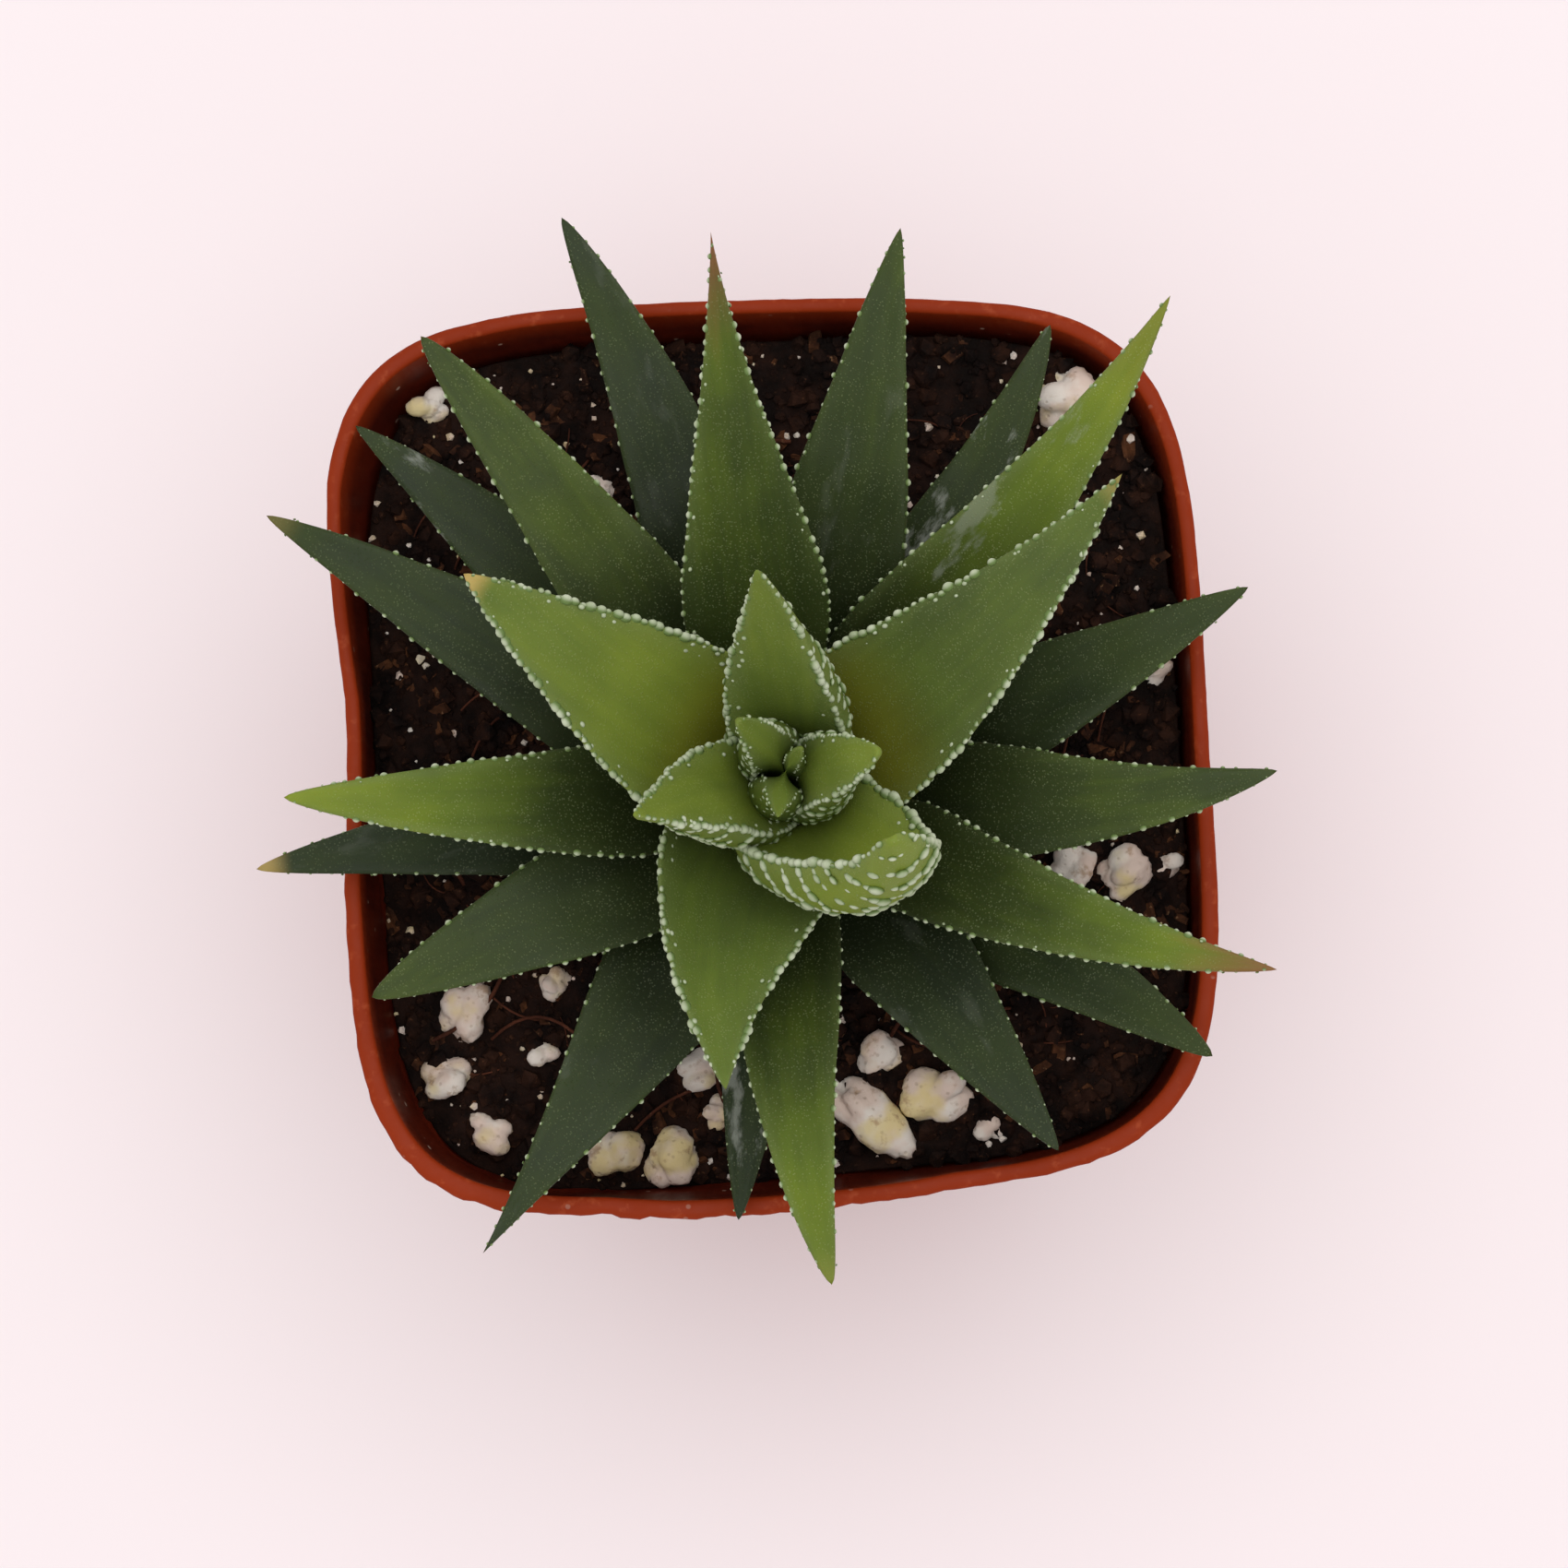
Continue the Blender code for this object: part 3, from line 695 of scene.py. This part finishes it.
# tone at foot, middle and tip; red and yellow of the tip; pale film; tooth size and spacing (mm);
# how many inner rows of teeth
leafLooks = {
    "leaf_01": (0.00, 0.02, 0.04, 0, 0, 0.8, 0.26, 1.5, 0),
    "leaf_02": (0.00, 0.00, 0.02, 0, 0.7, 0.1, 0.28, 1.4, 0),
    "leaf_03": (0.05, 0.10, 0.12, 0, 0, 0.9, 0.26, 1.4, 0),
    "leaf_04": (0.05, 0.12, 0.15, 0, 0, 1.0, 0.26, 1.4, 0),
    "leaf_05": (0.05, 0.12, 0.18, 0, 0, 0.0, 0.28, 1.3, 0),
    "leaf_06": (0.03, 0.07, 0.15, 0, 0, 0.1, 0.30, 1.25, 0),
    "leaf_07": (0.06, 0.12, 0.22, 0, 0, 0.0, 0.30, 1.2, 0),
    "leaf_08": (0.05, 0.10, 0.14, 0, 0, 0.1, 0.30, 1.25, 0),
    "leaf_09": (0.02, 0.03, 0.06, 0, 0, 0.1, 0.30, 1.25, 0),
    "leaf_10": (0.04, 0.08, 0.16, 0, 0.2, 0.0, 0.30, 1.2, 0),
    "leaf_11": (0.12, 0.24, 0.30, 0, 0, 0.1, 0.34, 1.1, 0),
    "leaf_12": (0.06, 0.26, 0.34, 0, 0, 0.0, 0.34, 1.0, 0),
    "leaf_13": (0.04, 0.20, 0.32, 0, 0, 0.0, 0.34, 1.05, 0),
    "leaf_14": (0.02, 0.38, 0.34, 0, 0, 0.0, 0.34, 1.1, 0),
    "leaf_15": (0.02, 0.52, 0.84, 0.15, 0, 0.45, 0.36, 1.0, 1),
    "leaf_16": (0.00, 0.36, 0.92, 0, 0, 0.0, 0.38, 0.85, 1),
    "leaf_17": (0.04, 0.38, 0.72, 0, 0.1, 0.0, 0.34, 0.95, 0),
    "leaf_18": (0.12, 0.36, 0.80, 0.8, 0, 0.0, 0.38, 0.9, 1),
    "leaf_19": (0.26, 0.33, 0.52, 0.8, 0, 0.0, 0.42, 0.8, 1),
    "leaf_20": (0.45, 0.55, 0.62, 0, 0, 0.0, 0.56, 0.66, 2),
    "leaf_21": (0.62, 0.42, 0.52, 0, 0.45, 0.0, 0.56, 0.70, 2),
    "leaf_22": (1.0, 0.78, 0.62, 0, 0.9, 0.0, 0.62, 0.64, 2),
    "leaf_23": (0.68, 0.68, 0.72, 0, 0, 0.0, 0.60, 0.60, 2),
    "leaf_24": (0.88, 0.90, 0.88, 0, 0, 0.0, 0.78, 0.74, 2),
    "leaf_25": (0.82, 0.84, 0.80, 0, 0, 0.0, 0.64, 0.60, 2),
    "leaf_26": (0.60, 0.64, 0.70, 0, 0, 0.0, 0.44, 0.50, 1),
    "leaf_27": (0.62, 0.70, 0.76, 0, 0, 0.0, 0.52, 0.50, 1),
    "leaf_28": (0.58, 0.62, 0.66, 0, 0, 0.0, 0.28, 0.60, 0),
    "leaf_29": (0.55, 0.58, 0.62, 0, 0, 0.0, 0.24, 0.60, 0),
}


def axisPoint(height):
    rise = height - (pot["height"] - soil["underLip"])
    return Vector((plant["stemX"] + plant["leanX"] * rise, plant["stemY"] + plant["leanY"] * rise, height))


def stemRadius(level):
    share = level / plant["levels"]
    return plant["stemFoot"] + (plant["stemTop"] - plant["stemFoot"]) * share * share


def bezier(points, share):
    rest = 1.0 - share
    a, b, c, d = points
    along = rest ** 3 * a + 3 * rest * rest * share * b + 3 * rest * share * share * c + share ** 3 * d
    slope = 3 * rest * rest * (b - a) + 6 * rest * share * (c - b) + 3 * share * share * (d - c)
    return along, slope


def leafCurve(row):
    level, reach, tipHeight, tipSlope = row[0], row[4] * mm, row[5] * mm, row[9]
    rise = math.radians(plant["angleFirst"] + plant["angleStep"] * level)
    away = stemRadius(level) + clearance * 1.2 + plant["baseThick"] * 0.5 * math.sin(rise)
    foot = pot["height"] - soil["underLip"] + plant["levelFirst"] + plant["levelStep"] * level
    start, end = Vector((away, foot)), Vector((reach, pot["height"] + tipHeight))
    fall = math.radians(tipSlope)
    handle = (end - start).length * plant["handle"]
    return (start, start + handle * Vector((math.cos(rise), math.sin(rise))),
            end - handle * Vector((math.cos(fall), math.sin(fall))), end)


def leafWidth(row, share, radius):
    full = row[6] * mm * min(plant["fullest"], (2.0 * (1.0 - share)) ** row[7]) + 0.02 * mm
    angle = plant["wedge"] if row[0] < plant["coreLevel"] else plant["coreWedge"]
    wedge = 2.0 * radius * math.tan(math.radians(angle))
    return (full ** -4 + wedge ** -4) ** -0.25


def leafThickness(row, share, width):
    grown = plant["baseThick"] + (row[8] * mm - plant["baseThick"]) * smooth(share / 0.35)
    return min(grown * (1.0 - smooth((share - 0.45) / 0.6) * 0.75), width * 0.75)


def leafPoint(curve, row, share, across, lift):
    spot, slope = bezier(curve, share)
    slope.normalize()
    level = slope.x * slope.x
    far = math.hypot(spot.x, across)
    turn = level * math.atan2(across, spot.x) + (1.0 - level) * across / max(spot.x, 1.2 * mm)
    out = spot.x + level * (far - spot.x) - slope.y * lift
    height = spot.y + slope.y * slope.x * (far - spot.x) + slope.x * lift
    foot, middle, tip = row[1:4]
    bend = 4.0 * middle - 3.0 * foot - tip
    angle = math.radians(foot + bend * share + (tip - foot - bend) * share * share) + turn
    base = axisPoint(height)
    return Vector((base.x + out * math.cos(angle), base.y + out * math.sin(angle), height))


def markTeeth(mesh, look, along, length):
    # rows of edges that carry teeth: both margins, lines just inside them, and bands across the underside
    rings, sides = plant["rings"], plant["sides"]
    across = sides // 2
    margin, inner, band = set(), set(), set()
    reachBand = 0.0
    for ring in range(1, rings - 2):
        here, after = ring * sides, (ring + 1) * sides
        share = along[here]
        if share > 0.14:
            for side in (0, across):
                margin.add(tuple(sorted((here + side, after + side))))
        if look[8] and 0.2 < share < 0.93:
            for offset in (2, 3) if look[8] > 1 else (2,):
                for side in (offset, across - offset):
                    inner.add(tuple(sorted((here + side, after + side))))
        if share * length > reachBand and share < 0.97:
            reachBand = share * length + plant["bandEvery"]
            for side in range(across + 2, sides - 2):
                band.add((here + side, here + side + 1))
    keys = [tuple(sorted(item.vertices)) for item in mesh.edges]
    for key, chosen in (("marginRow", margin), ("innerRow", inner), ("bandRow", band)):
        store(mesh, key, "BOOLEAN", "EDGE", [item in chosen for item in keys])
    sizes = []                            # teeth are smaller at the foot and at the tip
    for share in along:
        grow, fall = 0.55 + 0.45 * smooth(share / 0.35), 1 - 0.45 * smooth((share - 0.8) / 0.2)
        sizes.append(look[6] * mm * grow * fall)
    store(mesh, "toothSize", "FLOAT", "POINT", sizes)


def makeLeaf(name, row, look, order, leafSkin, tooth, tree):
    curve = leafCurve(row)
    roll, cup, swell = leafTwists.get(name, (0, 0.0, 0.0))
    rings, sides = plant["rings"], plant["sides"]
    length = sum((bezier(curve, (s + 1) / 40)[0] - bezier(curve, s / 40)[0]).length for s in range(40))
    points, along, across, tone, spots = [], [], [], [], []
    for ring in range(rings):
        share = 1.0 - (1.0 - ring / rings) ** 1.12
        spot, _ = bezier(curve, share)
        width = leafWidth(row, share, spot.x)
        thick = leafThickness(row, share, width)
        half = width * 0.5
        edge = min(plant["edge"], thick * 0.6, half)
        bend = math.radians(roll) * smooth((share - 0.2) / 0.55)
        plump = swell * mm * smooth(share / 0.2) * smooth((1 - share) / 0.6)
        for side in range(sides):
            turn = 2 * math.pi * side / sides
            place = math.cos(turn)
            skin = edge * 0.5 * math.sqrt(max(0.0, 1 - place ** 6))
            lift = (plant["channel"] + cup) * half * place * place
            if math.sin(turn) >= -1e-6:
                lift += skin + plump * (1 - place * place)
            else:
                lift -= skin + (thick - edge) * (1 - place * place) ** 0.8
            wave = noise.noise(Vector((share * length * 260, place * 1.3, order * 3.7)))
            fade = smooth(share / 0.2) * smooth((1 - share) / 0.1)
            wide, lift = place * half * (1 + 0.03 * wave * fade), lift + plant["ripple"] * wave * fade
            points.append(leafPoint(curve, row, share, wide * math.cos(bend) - lift * math.sin(bend),
                                    wide * math.sin(bend) + lift * math.cos(bend)))
            along.append(share)
            across.append(place)
            foot, middle, tip = look[:3]
            if share < 0.5:
                tone.append(foot + (middle - foot) * share * 2)
            else:
                tone.append(middle + (tip - middle) * (share * 2 - 1))
            spots += [share * length, place * half, order * 0.013]
    points += [leafPoint(curve, row, share, 0.0, 0.0) for share in (0.0, 1.0)]
    along += [0.0, 1.0]
    across += [0.0, 0.0]
    tone += [look[0], look[2]]
    spots += [0, 0, order * 0.013, length, 0, order * 0.013]
    faces = tubeFaces(rings, sides, len(points) - 2, len(points) - 1)
    mesh = meshOf(name + "_body", points, faces, leafSkin)
    for key, values in (("along", along), ("across", across), ("tone", tone)):
        store(mesh, key, "FLOAT", "POINT", values)
    store(mesh, "leafSpot", "FLOAT_VECTOR", "POINT", spots)
    warmth = 1.0 if name in ("leaf_21", "leaf_22") else 0.0
    shade = plant["shadeLow"] if row[0] < 3.5 else plant["shadeMid"] if row[0] < 4 else 0.0
    bloom = plant["bloom"] if row[0] > 4 else 0.0
    for key, value in (("tipRed", look[3]), ("tipYellow", look[4]), ("film", look[5]), ("warmth", warmth),
                       ("shade", shade), ("bloom", bloom)):
        store(mesh, key, "FLOAT", "POINT", [value] * len(points))
    normals = [part for vert in mesh.vertices for part in vert.normal]
    store(mesh, "outward", "FLOAT_VECTOR", "POINT", normals)
    markTeeth(mesh, look, along, length)
    piece = makePiece(name + "_blade", mesh, (name,))
    growTree(piece, tree, {"marginSpacing": look[7] * mm, "innerSpacing": look[7] * 1.5 * mm,
                           "bandSpacing": max(0.6, look[7] * 0.8) * mm, "seed": seed + order,
                           "material": tooth})
    return piece


# each kind of row: edge flag, spacing, chance of a tooth, least and most size, stray (mm), depth, form
toothRows = (
    ("marginRow", "marginSpacing", 0.96, 0.65, 1.35, 0.09, 0.14, (1.3, 0.85, 0.9)),
    ("innerRow", "innerSpacing", 0.5, 0.4, 0.85, 0.16, 0.12, (1.1, 0.85, 0.55)),
    ("bandRow", "bandSpacing", 0.9, 0.6, 1.15, 0.14, 0.0, (1.35, 0.95, 0.6)),
)


def vectorMath(tree, operation, first, second):
    key = "Scale" if operation == "SCALE" else 1
    return add(tree, "ShaderNodeVectorMath", {0: first, key: second}, operation=operation).outputs[0]


def toothShape(tree):
    # a small bead, slimmer towards its top
    bead = add(tree, "GeometryNodeMeshUVSphere", {"Segments": 8, "Rings": 5, "Radius": 0.5})
    place = add(tree, "GeometryNodeInputPosition").outputs[0]
    rise = add(tree, "ShaderNodeSeparateXYZ", {0: place}).outputs[2]
    slim = calc(tree, "MULTIPLY_ADD", rise, -0.55, 1.0)
    tall = add(tree, "ShaderNodeCombineXYZ", {0: slim, 1: slim, 2: 1.0}).outputs[0]
    shape = add(tree, "GeometryNodeSetPosition", {"Geometry": bead.outputs["Mesh"],
                                                  "Position": vectorMath(tree, "MULTIPLY", place, tall)})
    tint = add(tree, "GeometryNodeStoreNamedAttribute",
               {"Geometry": shape.outputs[0], "Name": "rise", "Value": rise},
               data_type="FLOAT", domain="POINT")
    return add(tree, "GeometryNodeSetShadeSmooth", {"Geometry": tint.outputs[0]}).outputs[0]


def toothTree():
    tree, source, end = newTree("toothRows", {"marginSpacing": 1.0 * mm, "innerSpacing": 1.5 * mm,
                                              "bandSpacing": 0.8 * mm, "seed": 5})
    bead = toothShape(tree)
    tangent = add(tree, "GeometryNodeInputTangent").outputs[0]
    outward, size = named(tree, "outward", "FLOAT_VECTOR"), named(tree, "toothSize", "FLOAT")
    stand = add(tree, "FunctionNodeAlignRotationToVector", {"Vector": outward}, axis="Z").outputs[0]
    face = add(tree, "FunctionNodeAlignRotationToVector", {"Rotation": stand, "Vector": tangent},
               axis="X", pivot_axis="Z").outputs[0]
    join = add(tree, "GeometryNodeJoinGeometry")
    for order, (row, spacing, chance, least, most, stray, deep, form) in enumerate(toothRows):
        line = add(tree, "GeometryNodeMeshToCurve", {"Mesh": source["Geometry"],
                                                     "Selection": named(tree, row, "BOOLEAN")})
        even = add(tree, "GeometryNodeResampleCurve", {"Curve": line.outputs[0], "Length": source[spacing]},
                   mode="LENGTH")
        sown = calc(tree, "ADD", source["seed"], order * 100.0)
        drift = randomVector(tree, (-stray * mm,) * 3, (stray * mm,) * 3, sown)
        inward = vectorMath(tree, "SCALE", outward, times(tree, size, -deep))
        shift = add(tree, "GeometryNodeSetPosition", {"Geometry": even.outputs[0],
                                                      "Offset": vectorMath(tree, "ADD", drift, inward)})
        keep = add(tree, "FunctionNodeRandomValue", {"Probability": chance, "Seed": sown},
                   data_type="BOOLEAN")
        vary = add(tree, "FunctionNodeRandomValue", {2: least, 3: most, "Seed": sown}).outputs[1]
        put = add(tree, "GeometryNodeInstanceOnPoints", {
            "Points": shift.outputs[0], "Instance": bead, "Selection": keep.outputs[3],
            "Rotation": face, "Scale": vectorMath(tree, "SCALE", form, times(tree, size, vary))})
        tree.links.new(put.outputs[0], join.inputs[0])
    whole = add(tree, "GeometryNodeJoinGeometry")
    tree.links.new(closeTree(tree, join.outputs[0], source["material"]), whole.inputs[0])
    tree.links.new(source["Geometry"], whole.inputs[0])
    tree.links.new(whole.outputs[0], end["Geometry"])
    return tree


leafPaint = {
    "tones": ((0.0, (0.016, 0.026, 0.009)), (0.3, (0.036, 0.055, 0.010)), (0.6, (0.095, 0.140, 0.011)),
              (1.0, (0.21, 0.27, 0.018))),
    "shade": (0.008, 0.011, 0.003), "bloom": (0.20, 0.26, 0.13), "warm": (0.19, 0.17, 0.008),
    # the fleck colours are partly real speckle and partly painted sparkle highlight
    "margin": (0.15, 0.19, 0.075), "darkFleckAndSparkle": (0.20, 0.24, 0.14), "lightFleckAndSparkle": (0.34, 0.40, 0.12),
    "film": (0.36, 0.38, 0.33), "tipRed": (0.22, 0.075, 0.035), "tipYellow": (0.46, 0.33, 0.10),
    "specular": 0.17, "fleckAndSparkleScale": 4800, "streakScale": (90, 900, 400), "filmScale": (160, 420, 300),
    "bump": 0.08 * mm,
}


def leafMaterial(paint):
    material, tree, shader = newMaterial("leafSkin", 0.5, paint["specular"])
    shader.inputs["Subsurface Weight"].default_value = 0.05
    shader.inputs["Subsurface Scale"].default_value = 1.0 * mm
    spot = objectSpot(tree)
    along, across = attribute(tree, "along"), attribute(tree, "across")
    leafSpot = attribute(tree, "leafSpot", "Vector")
    streak = noisy(tree, stretched(tree, leafSpot, paint["streakScale"]), 1.0, 4, 0.55)
    cloud = noisy(tree, spot, 150, 3)
    tone = calc(tree, "ADD", attribute(tree, "tone"), spread(tree, streak, 0.25, 0.75, -0.07, 0.07, False))
    tone = calc(tree, "ADD", tone, spread(tree, cloud, 0.25, 0.75, -0.10, 0.10, False))
    colour = ramp(tree, tone, paint["tones"])
    # darker feet on the low leaves, a faint bloom and warmer feet on the upper ones
    foot = times(tree, spread(tree, along, 0.2, 0.68, 1.0, 0.0), attribute(tree, "shade"))
    colour = mix(tree, foot, colour, paint["shade"])
    colour = mix(tree, attribute(tree, "bloom"), colour, paint["bloom"])
    warm = times(tree, spread(tree, along, 0.18, 0.42, 1.0, 0.0), attribute(tree, "warmth"))
    colour = mix(tree, times(tree, warm, 0.6), colour, paint["warm"])
    # greyer towards the margins, more so on the bright leaves
    edge = spread(tree, calc(tree, "ABSOLUTE", across), 0.55, 1.0)
    grey = times(tree, edge, spread(tree, tone, 0.2, 0.7, 0.04, 0.3))
    colour = mix(tree, grey, colour, paint["margin"])
    # fine pale flecks in the skin: partly real speckle, partly painted highlight standing in for the skin's
    # specular sparkle
    fleckAndSparkle = spread(tree, dots(tree, spot, paint["fleckAndSparkleScale"]), 0.10, 0.38, 1.0, 0.0)
    keep = spread(tree, noisy(tree, spot, 500, 2), 0.25, 0.6)
    amount = times(tree, times(tree, fleckAndSparkle, keep), spread(tree, tone, 0.0, 0.8, 0.3, 0.4))
    colour = mix(tree, amount, colour, mix(tree, tone, paint["darkFleckAndSparkle"], paint["lightFleckAndSparkle"]))
    # dried pale film on the oldest leaves
    patch = noisy(tree, stretched(tree, leafSpot, paint["filmScale"]), 1.0, 5, 0.62)
    film = times(tree, spread(tree, patch, 0.55, 0.66), times(tree, attribute(tree, "film"), 0.6))
    colour = mix(tree, film, colour, paint["film"])
    # tips
    ragged = calc(tree, "ADD", along, spread(tree, streak, 0.3, 0.7, -0.04, 0.04, False))
    near = times(tree, spread(tree, ragged, 0.80, 1.0), attribute(tree, "tipRed"))
    colour = mix(tree, near, colour, paint["tipRed"])
    last = times(tree, spread(tree, along, 0.93, 0.985), attribute(tree, "tipYellow"))
    colour = mix(tree, last, colour, paint["tipYellow"])
    rough = spread(tree, cloud, 0.3, 0.7, 0.40, 0.54, False)
    height = calc(tree, "MULTIPLY_ADD", fleckAndSparkle, 0.5, streak)
    finishMaterial(tree, shader, colour, rough, height, 0.5, paint["bump"])
    return material


def toothMaterial():
    material, tree, shader = newMaterial("pearlTooth", 0.45, 0.3)
    spot = objectSpot(tree)
    blotch = noisy(tree, spot, 700, 3)
    fine = noisy(tree, spot, 3500, 3)
    pale = mix(tree, spread(tree, blotch, 0.3, 0.7), (0.34, 0.40, 0.24), (0.52, 0.57, 0.41))
    colour = mix(tree, spread(tree, attribute(tree, "rise"), -0.1, 0.4), (0.13, 0.20, 0.055), pale)
    rough = spread(tree, fine, 0.3, 0.7, 0.32, 0.5, False)
    finishMaterial(tree, shader, colour, rough, fine, 0.3, 0.04 * mm)
    return material


leafSkin, tooth, rows = leafMaterial(leafPaint), toothMaterial(), toothTree()
faceCount = 0
for order, (name, row) in enumerate(leafShapes.items()):
    faceCount += len(makeLeaf(name, row, leafLooks[name], order, leafSkin, tooth, rows).data.polygons)
print("leaves made:", faceCount, "faces")


def stemMaterial():
    material, tree, shader = newMaterial("stemSkin", 0.6, 0.3)
    spot = objectSpot(tree)
    rings = add(tree, "ShaderNodeTexWave", {"Vector": spot, "Scale": 260.0, "Distortion": 4.0, "Detail": 3.0},
                bands_direction="Z").outputs["Fac"]
    fine = noisy(tree, spot, 1400, 4)
    colour = mix(tree, rings, (0.06, 0.085, 0.025), (0.13, 0.14, 0.05))
    colour = mix(tree, spread(tree, fine, 0.5, 0.75), colour, (0.16, 0.10, 0.05))
    finishMaterial(tree, shader, colour, spread(tree, fine, 0.3, 0.7, 0.5, 0.75, False),
                   calc(tree, "MULTIPLY_ADD", rings, 0.6, fine), 0.5, 0.1 * mm)
    return material


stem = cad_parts["stem"]
stem.data.materials.clear()
stem.data.materials.append(stemMaterial())

# stage: a plain pale floor and soft light from above
stage = {
    "floor": (0.93, 0.85, 0.865), "floorHalf": 3.0,
    "world": (1.0, 0.975, 0.98), "worldStrength": 0.76,
    "keyPlace": (0.05, 0.08, 0.95), "keySize": 0.9, "keyPower": 3.9,
}


def makeStage():
    half = stage["floorHalf"]
    material, tree, shader = newMaterial("paleFloor", 0.9, 0.2)
    spot = objectSpot(tree)
    grain = noisy(tree, spot, 8, 2)
    tint = tuple(value * 0.985 for value in stage["floor"])
    colour = mix(tree, grain, tint, stage["floor"])
    rough = spread(tree, grain, 0, 1, 0.85, 0.95, False)
    finishMaterial(tree, shader, colour, rough, noisy(tree, spot, 400, 2), 0.05, 0.1 * mm)
    mesh = bpy.data.meshes.new("floor")
    corners = [(-half, -half, 0), (half, -half, 0), (half, half, 0), (-half, half, 0)]
    mesh.from_pydata(corners, [], [(0, 1, 2, 3)])
    mesh.materials.append(material)
    floor = bpy.data.objects.new("floor", mesh)
    bpy.context.scene.collection.objects.link(floor)
    world = bpy.data.worlds.new("studio")
    world.use_nodes = True
    sky = world.node_tree.nodes["Background"]
    sky.inputs["Color"].default_value = (*stage["world"], 1.0)
    sky.inputs["Strength"].default_value = stage["worldStrength"]
    bpy.context.scene.world = world
    data = bpy.data.lights.new("key", "AREA")
    data.shape = "DISK"
    data.size = stage["keySize"]
    data.energy = stage["keyPower"]
    lamp = bpy.data.objects.new("key", data)
    place = Vector(stage["keyPlace"])
    lamp.matrix_world = Matrix.Translation(place) @ place.to_track_quat("Z", "Y").to_matrix().to_4x4()
    bpy.context.scene.collection.objects.link(lamp)


makeStage()
print("stage set")
